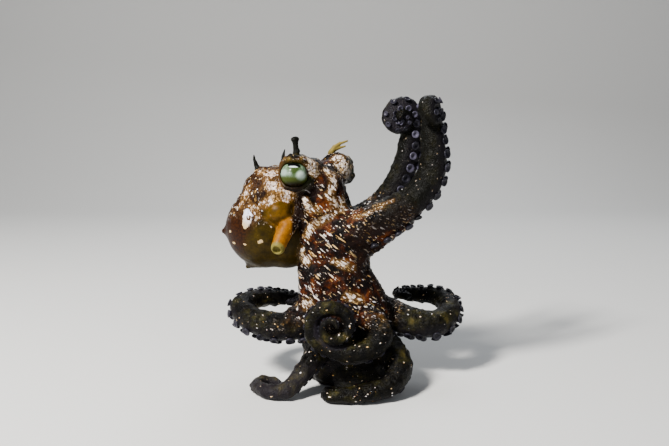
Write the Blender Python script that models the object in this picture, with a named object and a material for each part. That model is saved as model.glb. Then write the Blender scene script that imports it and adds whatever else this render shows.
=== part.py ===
"""A small sand-dwelling octopus, life size, standing tall on its gathered arms.

Frame: +Z up, the origin at the middle of the flat under the arm crown, where the animal
stands.  +X points to the side of the two raised arms, the mantle hangs towards -X, and -Y
is the animal's right side.  Every size and place below is in millimetres; the meshes are
written in metres.
"""

import math
from dataclasses import dataclass

import bmesh
import bpy
import numpy as np
from mathutils import Vector

MM = 0.001
GAP = 0.3  # clear space between two solids that meet

# Colours of the living skin: (red, green, blue), roughness
SKIN_BROWN = ((0.16, 0.060, 0.028), 0.45)
ARM_DARK = ((0.060, 0.038, 0.030), 0.40)
MANTLE_OLIVE = ((0.20, 0.105, 0.028), 0.40)
FUNNEL_ORANGE = ((0.50, 0.23, 0.045), 0.35)
EYE_GREEN = ((0.38, 0.42, 0.30), 0.15)
HORN_BLACK = ((0.035, 0.030, 0.022), 0.50)

# Arms: a section that is flatter on the sucker side, as (degrees from the middle of that
# side, reach as a share of the radius), the same on both sides
ARM_SECTION = ((0, 0.66), (36, 0.86), (72, 0.98), (108, 1.0), (144, 1.02), (180, 1.04))
ARM_RINGS = 32
SUCKER_BEARING = 36
SUCKER_HEIGHT = 0.28  # the suckers are two staggered rows of peaks, this share of the radius high
LENGTHS = (("base", 0.0, 0.36), ("mid", 0.36, 0.68), ("tip", 0.68, 1.0))
FLARE_LENGTH = 9  # how far from its root the web still widens an arm


@dataclass
class Curl:
    """The end of an arm, winding up: its turns, its first and last radius, the side it bends to."""

    turns: float
    radius: float
    end_radius: float
    toward: tuple
    rise: float = 0.0  # how far each turn leaves the plane of the coil


@dataclass
class Arm:
    """One arm: a smooth route through a few places, its radii, and where its suckers face."""

    name: str
    route: tuple
    base_radius: float
    tip_radius: float
    taper: float
    oral: tuple
    curl: Curl
    flare: float = 1.2  # how much wider the arm is at its root
    twist: tuple = ((0, 0), (1, 0))  # share of the length, and degrees the sucker side has turned


ARMS = (
    Arm(  # raised, the nearer of the two
        "arm_right_1",
        ((-2, -7, 67), (8, -9, 71), (18, -8.8, 75.5), (28.5, -8, 81.3), (35, -7.5, 88), (38.7, -7, 95),
         (39.2, -6.5, 103), (38.3, -6, 112), (37.8, -6, 119.5)),
        base_radius=8.6,
        tip_radius=0.8,
        taper=0.5,
        oral=(0.35, -0.25, -1.0),
        curl=Curl(turns=0.9, radius=5.4, end_radius=1.8, toward=(-0.5, -0.85, 0.0), rise=5.4),
        flare=1.05,
        twist=((0, 26), (0.3, 20), (0.55, 2), (1, -10)),
    ),
    Arm(  # raised, the further one
        "arm_left_1",
        ((-2, 7, 68), (8, 9, 72), (16.2, 9.4, 77), (21.7, 9.7, 84), (25.8, 10, 92), (28, 10, 100),
         (29.2, 10, 108), (30, 9.5, 118)),
        base_radius=7.8,
        tip_radius=0.9,
        taper=0.8,
        oral=(0.35, -0.75, -0.7),
        curl=Curl(turns=1.2, radius=6.3, end_radius=1.8, toward=(-1.0, -0.1, 0.0), rise=4.8),
        flare=1.05,
    ),
    Arm(  # sweeps down and round the front, on the floor
        "arm_right_2",
        ((8, -2, 24), (18, -9, 18), (23.3, -18, 12), (19, -26.5, 6), (8, -31, 3.9), (-3, -31.5, 3)),
        base_radius=7.4,
        tip_radius=0.9,
        taper=0.8,
        oral=(0.6, -0.5, 0.4),
        curl=Curl(turns=0.9, radius=5.4, end_radius=2.0, toward=(0.0, 1.0, 0.0), rise=1.2),
        twist=((0, -150), (0.4, -140), (1, -125)),
    ),
    Arm(  # coiled up in front
        "arm_right_3",
        ((0, -6, 36), (10, -13, 32), (15, -19.5, 26.5), (10.5, -24.6, 21.4), (1, -25.4, 19.8),
         (-7, -24.5, 22)),
        base_radius=5.8,
        tip_radius=0.6,
        taper=0.9,
        oral=(0.4, -0.7, -0.6),
        curl=Curl(turns=1.7, radius=10.2, end_radius=2.2, toward=(0.45, 0.0, 0.9), rise=-4.6),
        twist=((0, 50), (0.3, 98), (0.5, 84), (0.7, 74), (0.85, 62), (1, 40)),
    ),
    Arm(  # slips out low at the front left and along the floor
        "arm_right_4",
        ((-7, -6, 22), (-13, -15.5, 14.5), (-19, -22.5, 9), (-25, -27, 4), (-33, -26, 2.9),
         (-38, -19, 2.5)),
        base_radius=5.2,
        tip_radius=0.8,
        taper=0.8,
        oral=(-0.5, -0.5, -0.6),
        curl=Curl(turns=1.0, radius=6.5, end_radius=2.0, toward=(1.0, 0.3, 0.0), rise=1.4),
        twist=((0, 47), (0.4, 62), (1, 80)),
    ),
    Arm(  # the loop on the right
        "arm_left_2",
        ((4, 3, 28), (18, 7, 27.6), (30, 2.2, 24.9), (41.5, 1, 24.2), (49.3, 8.5, 27), (50.3, 18, 30.8),
         (44, 26, 33), (32.5, 28.5, 33.2)),
        base_radius=8.7,
        tip_radius=1.0,
        taper=0.6,
        oral=(0.0, -0.8, -0.6),
        curl=Curl(turns=0.62, radius=5.6, end_radius=3.0, toward=(0.0, -1.0, 0.05), rise=1.0),
        twist=((0, 40), (0.35, 34), (0.5, 2), (0.65, -60), (0.8, -80), (1, -85)),
    ),
    Arm(  # curled on the floor behind
        "arm_left_3",
        ((-2, 8, 30), (-6, 18, 17), (-6, 28, 7.6), (2, 36, 4), (12, 37, 3.3)),
        base_radius=6.6,
        tip_radius=0.9,
        taper=0.8,
        oral=(0.0, 0.4, -1.0),
        curl=Curl(turns=1.0, radius=8.0, end_radius=2.2, toward=(0.2, -1.0, 0.0), rise=2.4),
        twist=((0, 12), (0.4, 46), (1, 66)),
    ),
    Arm(  # the loop on the left
        "arm_left_4",
        ((-8, 0, 28), (-18, -3.8, 26), (-27, -6.2, 25), (-36, -6, 26), (-44, -2, 28), (-48.8, 5.4, 30.4),
         (-46.4, 13.8, 32.4), (-38.5, 19.2, 33.6), (-28, 22, 32.8)),
        base_radius=8.2,
        tip_radius=1.0,
        taper=0.6,
        oral=(0.0, -0.8, -0.6),
        curl=Curl(turns=0.62, radius=5.6, end_radius=3.4, toward=(0.3, -1.0, 0.0), rise=1.0),
        twist=((0, -40), (0.35, -34), (0.5, 0), (0.65, 62), (0.8, 84), (1, 90)),
    ),
)

# Web and crown, the standing column: height, middle in x and y, half width in x and in y
WEB_STATIONS = (
    (0.0, 1.0, 0.0, 15.0, 14.0),
    (4.0, 1.0, 0.0, 18.5, 17.0),
    (14.0, 1.0, 0.0, 19.5, 17.5),
    (28.0, 0.3, 0.0, 20.3, 17.0),
    (40.0, -1.3, 0.0, 19.7, 16.0),
    (52.0, -5.1, 0.0, 16.4, 15.0),
    (64.0, -5.5, 0.0, 15.5, 14.5),
    (74.0, -7.5, 0.0, 13.5, 13.5),
    (84.0, -10.0, 0.0, 11.0, 12.0),
    (92.0, -11.0, 0.0, 8.0, 8.0),
)
WEB_SIDES = 26
WEB_RINGS = 15
RIDGE_HEIGHT = 0.07  # the arms show through the web as ridges, of its half width
RIDGE_BEARINGS = (-34, -60, -136, 9, 100, -170)  # degrees round the column at the floor, from +X
RIDGE_WIDTH = 15  # degrees
RIDGE_LEAN = 22  # degrees that the ridges drift round, from the floor to the head

# Head and mantle: rounded lobes (middle, half sizes) that run into each other
HEAD_MIDDLE = (-11, 0, 88)
HEAD_LOBES = (
    ((-11.5, 0, 86.5), (10.8, 13, 12)),
    ((-19.3, -10.2, 95.6), (8.2, 8.0, 8.3)),
    ((-3.9, 10.4, 95.8), (7.3, 7.6, 8.1)),
)
MANTLE_MIDDLE = (-34, 7, 73)
MANTLE_LOBES = (
    ((-36, 7, 69), (18.5, 17, 18.5)),
    ((-31, 6, 82), (14.8, 15, 15.3)),
    ((-26, 5, 64), (12, 13, 13.5)),
    ((-29, -6, 77.8), (6.4, 6.5, 6.0)),  # the edge of the mantle's opening, swollen over the funnel
)
BLOB_SIDES = 22
BLOB_RINGS = 13
BLEND_POWER = 9  # a higher power keeps the lobes more apart

# Spikes of skin on the mantle: where the tip is, how long the spike is, its radius at the foot
MANTLE_SPIKES = (
    ((-41.5, 7, 102), 8.5, 1.7),
    ((-27, 14, 104), 8.5, 1.5),
    ((-57, 7, 67.5), 2.8, 1.5),
    ((-45.5, 7, 48), 4.0, 1.5),
    ((-46, 24, 78), 5.0, 1.5),
    ((-37.5, 25.5, 88), 5.0, 1.5),
)
SPIKE_ROOT = 2  # how deep a spike is rooted
SPIKE_SIDES = 6
SPIKE_TIP = 0.4  # of the radius at the foot

# Horns over the eyes: (place, radius) from foot to tip
HORN_RIGHT = (
    ((-20.8, -12, 101), 2.0),
    ((-21.1, -12, 104.5), 1.35),
    ((-21.2, -12, 108), 1.3),
    ((-21.0, -12, 110), 1.5),
)
HORN_LEFT = (
    ((-6.0, 12, 101.6), 2.0),
    ((-5.9, 12.2, 103.8), 1.25),
    ((-4.3, 12.5, 105.9), 1.0),
    ((-1.9, 12.7, 107.3), 0.8),
    ((1.0, 12.8, 108.2), 0.5),
)
HORN_SIDES = 8

# Eyes
EYE_RADIUS = 5.9
EYE_RIGHT = (-21.8, -13.4, 94.7)
EYE_LEFT = (-1.6, 13.4, 95.0)
EYE_SIDES = 16

# Funnel: (place, outer radius) from its root to its mouth
FUNNEL_ROUTE = (
    ((-19, -7, 74), 5.0),
    ((-23, -11, 70.5), 4.6),
    ((-27, -13.2, 66), 3.6),
    ((-30.2, -14, 61.6), 2.9),
)
FUNNEL_BORE = 1.6
FUNNEL_DEPTH = 6
FUNNEL_SIDES = 14


# ------------------------------------------------------------------ curves
def smooth_route(places, steps=24):
    """Points of a Catmull-Rom curve through the places, in even steps of its parameter."""
    p = np.array(places, float)
    p = np.vstack([2 * p[0] - p[1], p, 2 * p[-1] - p[-2]])
    u = np.linspace(0, 1, steps, endpoint=False)[:, None]
    runs = []
    for a, b, c, d in zip(p, p[1:], p[2:], p[3:]):
        square = 2 * a - 5 * b + 4 * c - d
        cube = 3 * b - a - 3 * c + d
        runs.append(0.5 * (2 * b + (c - a) * u + square * u**2 + cube * u**3))
    return np.vstack([*runs, p[-2]])


def unit(v):
    return v / np.linalg.norm(v)


def curl_points(start, heading, curl, steps=160):
    """Points of a coil that leaves start along heading, its radius shrinking evenly as it turns."""
    heading = unit(heading)
    toward = np.array(curl.toward, float)
    toward = unit(toward - heading * (toward @ heading))
    out_of_plane = np.cross(heading, toward)
    whole = 2 * math.pi * curl.turns
    angle = (np.arange(steps) + 0.5) / steps * whole
    radius = curl.radius + (curl.end_radius - curl.radius) * angle / whole
    step = np.outer(radius * np.cos(angle), heading) + np.outer(radius * np.sin(angle), toward)
    step += out_of_plane * curl.rise / (2 * math.pi)
    return start + np.cumsum(step, axis=0) * whole / steps


def arc_length(points):
    return np.concatenate([[0], np.cumsum(np.linalg.norm(np.diff(points, axis=0), axis=1))])


def transported(tangents, first):
    """A normal for each tangent that starts near first and turns as little as it can."""
    normal = np.array(first, float)
    found = []
    for tangent in tangents:
        normal = unit(normal - tangent * (normal @ tangent))
        found.append(normal)
    return np.array(found)


class Line:
    """A curve with its length, tangents and normals, read at any share of the length."""

    def __init__(self, points, first_normal, twist=((0, 0), (1, 0)), samples=400):
        length = arc_length(points)
        self.length = length[-1]
        self.share = np.linspace(0, 1, samples)
        at = self.share * self.length
        self.points = np.column_stack([np.interp(at, length, points[:, k]) for k in range(3)])
        tangents = np.gradient(self.points, axis=0)
        self.tangents = tangents / np.linalg.norm(tangents, axis=1)[:, None]
        normals = transported(self.tangents, first_normal)
        turned = np.radians(np.interp(self.share, *zip(*twist)))[:, None]
        self.normals = np.cos(turned) * normals + np.sin(turned) * np.cross(self.tangents, normals)

    def read(self, share, values):
        return np.array([np.interp(share, self.share, values[:, k]) for k in range(3)])

    def at(self, share):
        """Place, tangent, normal and side at this share of the length."""
        tangent = unit(self.read(share, self.tangents))
        normal = self.read(share, self.normals)
        normal = unit(normal - tangent * (normal @ tangent))
        return self.read(share, self.points), tangent, normal, np.cross(tangent, normal)


def arm_line(arm):
    route = smooth_route(arm.route)
    coil = curl_points(route[-1], route[-1] - route[-2], arm.curl)
    return Line(np.vstack([route, coil]), arm.oral, arm.twist)


def arm_radius(arm, line, share):
    radius = arm.tip_radius + (arm.base_radius - arm.tip_radius) * (1 - share) ** arm.taper
    return radius * (1 + (arm.flare - 1) * math.exp(-((share * line.length / FLARE_LENGTH) ** 2)))


def ring_shares(arm, line):
    """Where the arm's rings lie: closer together as it gets thinner."""
    fine = np.linspace(0, 1, 400)
    density = np.array([1 / (arm_radius(arm, line, s) + 0.8) for s in fine])
    count = np.concatenate([[0], np.cumsum((density[1:] + density[:-1]) / 2)])
    return np.interp(np.linspace(0, count[-1], ARM_RINGS), count, fine)


# ------------------------------------------------------------------ meshes
def mesh_object(name, mesh_data, finish, cutter=False):
    """An object from a bmesh in millimetres, written in metres."""
    for vert in mesh_data.verts:
        vert.co *= MM
    bmesh.ops.recalc_face_normals(mesh_data, faces=mesh_data.faces)
    mesh = bpy.data.meshes.new(name)
    mesh_data.to_mesh(mesh)
    mesh_data.free()
    mesh.shade_smooth()
    obj = bpy.data.objects.new(name, mesh)
    bpy.context.scene.collection.objects.link(obj)
    if cutter:
        obj.hide_render = True
        obj.display_type = "WIRE"
    else:
        obj.data.materials.append(material(*finish))
    return obj


def material(colour, roughness):
    name = f"skin_{colour[0]:.3f}"
    made = bpy.data.materials.get(name)
    if made is None:
        made = bpy.data.materials.new(name)
        made.use_nodes = True
        shader = made.node_tree.nodes["Principled BSDF"]
        shader.inputs["Base Color"].default_value = (*colour, 1)
        shader.inputs["Roughness"].default_value = roughness
        shader.inputs["Metallic"].default_value = 0
    return made


def skin_rings(mesh_data, rings, end_point=None):
    """Joins rings of points into a closed tube with a flat start, and a flat or pointed end."""
    loops = [[mesh_data.verts.new(p) for p in ring] for ring in rings]
    sides = len(loops[0])
    for lower, upper in zip(loops, loops[1:]):
        for k in range(sides):
            mesh_data.faces.new((lower[k], lower[(k + 1) % sides], upper[(k + 1) % sides], upper[k]))
    mesh_data.faces.new(reversed(loops[0]))
    if end_point is None:
        mesh_data.faces.new(loops[-1])
    else:
        tip = mesh_data.verts.new(end_point)
        for k in range(sides):
            mesh_data.faces.new((loops[-1][k], loops[-1][(k + 1) % sides], tip))


def arm_ring(arm, line, share, peaked_row):
    """One ring of an arm.  peaked_row says which row of suckers peaks here: -1, 1, or 0 for neither."""
    place, _, oral, side = line.at(share)
    radius = arm_radius(arm, line, share)
    near_side = [(bearing, reach) for bearing, reach in ARM_SECTION]
    far_side = [(-bearing, reach) for bearing, reach in reversed(ARM_SECTION[1:-1])]
    ring = []
    for bearing, reach in near_side + far_side:
        if peaked_row and bearing == peaked_row * SUCKER_BEARING:
            reach += SUCKER_HEIGHT
        angle = math.radians(bearing)
        point = place + (oral * math.cos(angle) + side * math.sin(angle)) * reach * radius
        ring.append((point[0], point[1], max(point[2], 0.0)))  # flat where it lies on the floor
    return ring


def arm_length(arm, line, name, start, end):
    """One length of an arm, from one share of it to another."""
    inner = [(k, s) for k, s in enumerate(ring_shares(arm, line)) if start + 0.01 < s < end - 0.01]
    half_gap = GAP / 2 / line.length
    first = start + (half_gap if start > 0 else 0)
    last = end - half_gap
    rings = [arm_ring(arm, line, first, 0)]
    rings += [arm_ring(arm, line, s, 1 if k % 2 else -1) for k, s in inner]
    mesh_data = bmesh.new()
    if end < 1:
        rings.append(arm_ring(arm, line, last, 0))
        skin_rings(mesh_data, rings)
    else:
        place, tangent, _, _ = line.at(1.0)
        tip = place + tangent * arm.tip_radius * 0.5
        skin_rings(mesh_data, rings, (tip[0], tip[1], max(tip[2], arm.tip_radius * 0.5)))
    return mesh_object(f"{arm.name}_{name}", mesh_data, ARM_DARK)


def inflated(mesh_data, by):
    """Moves every point out along its normal."""
    bmesh.ops.recalc_face_normals(mesh_data, faces=mesh_data.faces)
    mesh_data.normal_update()
    moves = [vert.normal * by for vert in mesh_data.verts]
    for vert, move in zip(mesh_data.verts, moves):
        vert.co += move
    return mesh_data


def web_ring(height):
    stations = np.array(WEB_STATIONS)
    read = [np.interp(height, stations[:, 0], stations[:, k]) for k in (1, 2, 3, 4)]
    middle_x, middle_y, half_x, half_y = read
    ring = []
    for k in range(WEB_SIDES):
        bearing = 360 * k / WEB_SIDES
        lean = RIDGE_LEAN * height / stations[-1, 0]
        away = [(bearing - ridge - lean + 180) % 360 - 180 for ridge in RIDGE_BEARINGS]
        swell = 1 + RIDGE_HEIGHT * (sum(math.exp(-((a / RIDGE_WIDTH) ** 2)) for a in away) - 0.5)
        angle = math.radians(bearing)
        x, y = middle_x + half_x * swell * math.cos(angle), middle_y + half_y * swell * math.sin(angle)
        ring.append((x, y, height))
    return ring


def web_mesh():
    mesh_data = bmesh.new()
    top = WEB_STATIONS[-1][0]
    skin_rings(mesh_data, [web_ring(top * k / (WEB_RINGS - 1)) for k in range(WEB_RINGS)])
    return mesh_data


def lobe_reach(middle, lobe, direction):
    """How far from the middle, along a direction, the far side of an ellipsoid lies; 0 if it is missed."""
    centre, half = (np.array(part, float) for part in lobe)
    start, way = (np.array(middle, float) - centre) / half, direction / half
    a, b, c = way @ way, start @ way, start @ start - 1
    root = b * b - a * c
    return max(0.0, (-b + math.sqrt(root)) / a) if root > 0 else 0.0


def blob_point(middle, lobes, direction):
    """Where the surface lies in a direction: on the outermost lobe, with a soft crease to the next."""
    reach = sum(lobe_reach(middle, lobe, direction) ** BLEND_POWER for lobe in lobes) ** (1 / BLEND_POWER)
    return np.array(middle, float) + direction * reach


def blob_mesh(middle, lobes):
    """A closed body of lobes that run into each other."""
    def surface(polar, bearing):
        flat = math.sin(polar)
        direction = np.array([flat * math.cos(bearing), flat * math.sin(bearing), math.cos(polar)])
        return blob_point(middle, lobes, direction)

    mesh_data = bmesh.new()
    polars = [math.pi * (k + 1) / (BLOB_RINGS + 1) for k in range(BLOB_RINGS)]
    bearings = [2 * math.pi * k / BLOB_SIDES for k in range(BLOB_SIDES)]
    loops = [[mesh_data.verts.new(surface(p, b)) for b in bearings] for p in polars]
    for lower, upper in zip(loops, loops[1:]):
        for k in range(BLOB_SIDES):
            after = (k + 1) % BLOB_SIDES
            mesh_data.faces.new((lower[k], lower[after], upper[after], upper[k]))
    for loop, polar in ((loops[0], 0.0), (loops[-1], math.pi)):
        pole = mesh_data.verts.new(surface(polar, 0.0))
        for k in range(BLOB_SIDES):
            mesh_data.faces.new((loop[k], loop[(k + 1) % BLOB_SIDES], pole))
    return mesh_data


def tube_mesh(stops, sides, end_point=False, bore=None):
    """A round tube through (place, radius) stops.  A bore is (radius, depth) of a blind hole in its end."""
    line = Line(smooth_route([place for place, _ in stops]), (0.3, 0.9, 0.2))
    own = arc_length(np.array([place for place, _ in stops], float))
    shares = own / own[-1]
    radii = [radius for _, radius in stops]
    reads = [(s, np.interp(s, shares, radii)) for s in np.linspace(0, 1, 2 * len(stops) - 1)]
    if bore:
        radius, depth = bore
        reads += [(1.0, (radius + radii[-1]) / 2), (0.99, radius), (1 - depth / line.length, radius * 0.7)]

    def ring(share, radius):
        place, _, normal, side = line.at(share)
        bearings = [2 * math.pi * k / sides for k in range(sides)]
        return [place + (normal * math.cos(b) + side * math.sin(b)) * radius for b in bearings]

    mesh_data = bmesh.new()
    tip = line.points[-1] + line.tangents[-1] * radii[-1] * 0.6 if end_point else None
    skin_rings(mesh_data, [ring(s, r) for s, r in reads], tip)
    return mesh_data


def ball_mesh(centre, radius):
    mesh_data = bmesh.new()
    bmesh.ops.create_uvsphere(mesh_data, u_segments=EYE_SIDES, v_segments=EYE_SIDES // 2, radius=radius)
    bmesh.ops.translate(mesh_data, verts=mesh_data.verts, vec=Vector(centre))
    return mesh_data


def boolean(obj, other, operation="DIFFERENCE"):
    modifier = obj.modifiers.new(f"{operation.lower()}_{other.name}", "BOOLEAN")
    modifier.operation = operation
    modifier.object = other


# ------------------------------------------------------------------ the animal
def build():
    for obj in list(bpy.data.objects):
        bpy.data.objects.remove(obj)

    def cutter(name, mesh_data):
        return mesh_object(f"cut_{name}", inflated(mesh_data, GAP), None, cutter=True)

    web_cut = cutter("web", web_mesh())
    head_cut = cutter("head", blob_mesh(HEAD_MIDDLE, HEAD_LOBES))
    mantle_cut = cutter("mantle", blob_mesh(MANTLE_MIDDLE, MANTLE_LOBES))
    eye_right_cut = cutter("eye_right", ball_mesh(EYE_RIGHT, EYE_RADIUS))
    eye_left_cut = cutter("eye_left", ball_mesh(EYE_LEFT, EYE_RADIUS))

    web = mesh_object("web", web_mesh(), SKIN_BROWN)
    boolean(web, head_cut)

    head = mesh_object("head", blob_mesh(HEAD_MIDDLE, HEAD_LOBES), SKIN_BROWN)
    for cut in (eye_right_cut, eye_left_cut):
        boolean(head, cut)

    mesh_object("eye_right", ball_mesh(EYE_RIGHT, EYE_RADIUS), EYE_GREEN)
    mesh_object("eye_left", ball_mesh(EYE_LEFT, EYE_RADIUS), EYE_GREEN)

    for name, stops in (("horn_right", HORN_RIGHT), ("horn_left", HORN_LEFT)):
        horn = mesh_object(name, tube_mesh(stops, HORN_SIDES, end_point=True), HORN_BLACK)
        boolean(horn, head_cut)

    mantle = mesh_object("mantle", blob_mesh(MANTLE_MIDDLE, MANTLE_LOBES), MANTLE_OLIVE)
    for number, (tip, length, radius) in enumerate(MANTLE_SPIKES, 1):
        way = unit(np.array(tip, float) - MANTLE_MIDDLE)
        skin_point = blob_point(MANTLE_MIDDLE, MANTLE_LOBES, way)
        stops = ((skin_point - way * SPIKE_ROOT, radius), (skin_point + way * length, radius * SPIKE_TIP))
        cone = tube_mesh(stops, SPIKE_SIDES, end_point=True)
        spike = mesh_object(f"spike_{number}", cone, None, cutter=True)
        boolean(mantle, spike, "UNION")
    boolean(mantle, head_cut)
    boolean(mantle, web_cut)

    funnel = mesh_object(
        "funnel", tube_mesh(FUNNEL_ROUTE, FUNNEL_SIDES, bore=(FUNNEL_BORE, FUNNEL_DEPTH)), FUNNEL_ORANGE
    )
    for cut in (mantle_cut, head_cut, web_cut):
        boolean(funnel, cut)

    for arm in ARMS:
        line = arm_line(arm)
        for name, start, end in LENGTHS:
            length = arm_length(arm, line, name, start, end)
            if start == 0:
                boolean(length, web_cut)


build()
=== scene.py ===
# %% [markdown]
# # A small octopus standing tall
#
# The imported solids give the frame: how big the animal is and where every part lies.  Over
# them this lesson grows one seamless skin, as a living octopus has, and then adds what sits
# in or on the skin: eyes, horns, suckers and raised spots.
#
# A seamless skin is hard to join from tubes and balls.  It is easy to describe as a field
# of distances: each part says how far any point in space is from its surface, the least of
# these numbers wins, and where two parts come close their numbers are blended, so the skin
# rounds over from one to the other.  The skin is drawn where the blended number is zero.

# %% The frame
import math
import time

import bmesh
import bpy
import numpy as np
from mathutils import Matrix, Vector, kdtree


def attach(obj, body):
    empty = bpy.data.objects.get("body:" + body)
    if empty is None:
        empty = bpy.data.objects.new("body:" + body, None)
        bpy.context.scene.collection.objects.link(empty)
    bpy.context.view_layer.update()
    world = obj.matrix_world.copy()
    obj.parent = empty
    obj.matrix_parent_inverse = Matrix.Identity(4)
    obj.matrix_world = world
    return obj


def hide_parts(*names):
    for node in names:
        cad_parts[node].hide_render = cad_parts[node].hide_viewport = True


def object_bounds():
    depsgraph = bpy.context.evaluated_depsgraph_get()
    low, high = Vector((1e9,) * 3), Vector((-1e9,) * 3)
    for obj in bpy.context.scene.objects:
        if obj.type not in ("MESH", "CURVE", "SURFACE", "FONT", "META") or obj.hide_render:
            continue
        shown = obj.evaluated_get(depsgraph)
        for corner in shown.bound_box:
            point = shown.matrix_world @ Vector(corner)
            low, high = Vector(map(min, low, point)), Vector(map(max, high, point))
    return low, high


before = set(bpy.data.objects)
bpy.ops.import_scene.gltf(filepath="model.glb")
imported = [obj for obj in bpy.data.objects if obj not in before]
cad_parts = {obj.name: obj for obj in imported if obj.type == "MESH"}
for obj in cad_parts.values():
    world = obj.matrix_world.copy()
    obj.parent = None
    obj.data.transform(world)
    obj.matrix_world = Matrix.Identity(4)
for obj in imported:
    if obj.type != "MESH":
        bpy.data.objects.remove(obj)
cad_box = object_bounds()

MM = 0.001
FAR = 99.0
print("solids", len(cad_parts), "box", [[round(c / MM, 1) for c in corner] for corner in cad_box])

# %% [markdown]
# ## The camera
#
# It is made first, because everything is judged through it.  It looks along +Y at the
# animal's right side from a little above, as a diver lying on the sand would.

# %% Camera
CAMERA_PLACE = (-4.7, -320.0, 117.0)  # mm
CAMERA_PITCH = 8.0  # degrees down
FOCAL_WIDTHS = 1.07623  # focal length in widths of the picture
SENSOR = 36.0

camera_data = bpy.data.cameras.new("camera")
camera_data.sensor_width = SENSOR
camera_data.lens = SENSOR * FOCAL_WIDTHS
camera_data.clip_start = 0.01
camera = bpy.data.objects.new("camera", camera_data)
camera.location = Vector(CAMERA_PLACE) * MM
camera.rotation_euler = (math.radians(90 - CAMERA_PITCH), 0, 0)
bpy.context.scene.collection.objects.link(camera)
bpy.context.scene.camera = camera
print("lens", round(camera_data.lens, 1), "mm")

# %% [markdown]
# ## The arms' routes
#
# An arm is a smooth curve through a few places, and its end winds up in a coil whose radius
# shrinks evenly as it turns.  The places are those of the solids underneath, in millimetres.
# Only the further raised arm lies about one to the right of its solid.

# %% Arm table
from dataclasses import dataclass


@dataclass
class Curl:
    turns: float
    radius: float
    end_radius: float
    toward: tuple
    rise: float = 0.0


@dataclass
class Arm:
    name: str
    route: tuple
    base_radius: float
    tip_radius: float
    taper: float
    oral: tuple
    curl: Curl
    flare: float = 1.2
    twist: tuple = ((0, 0), (1, 0))  # share of the length, and degrees the sucker side has turned


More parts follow.
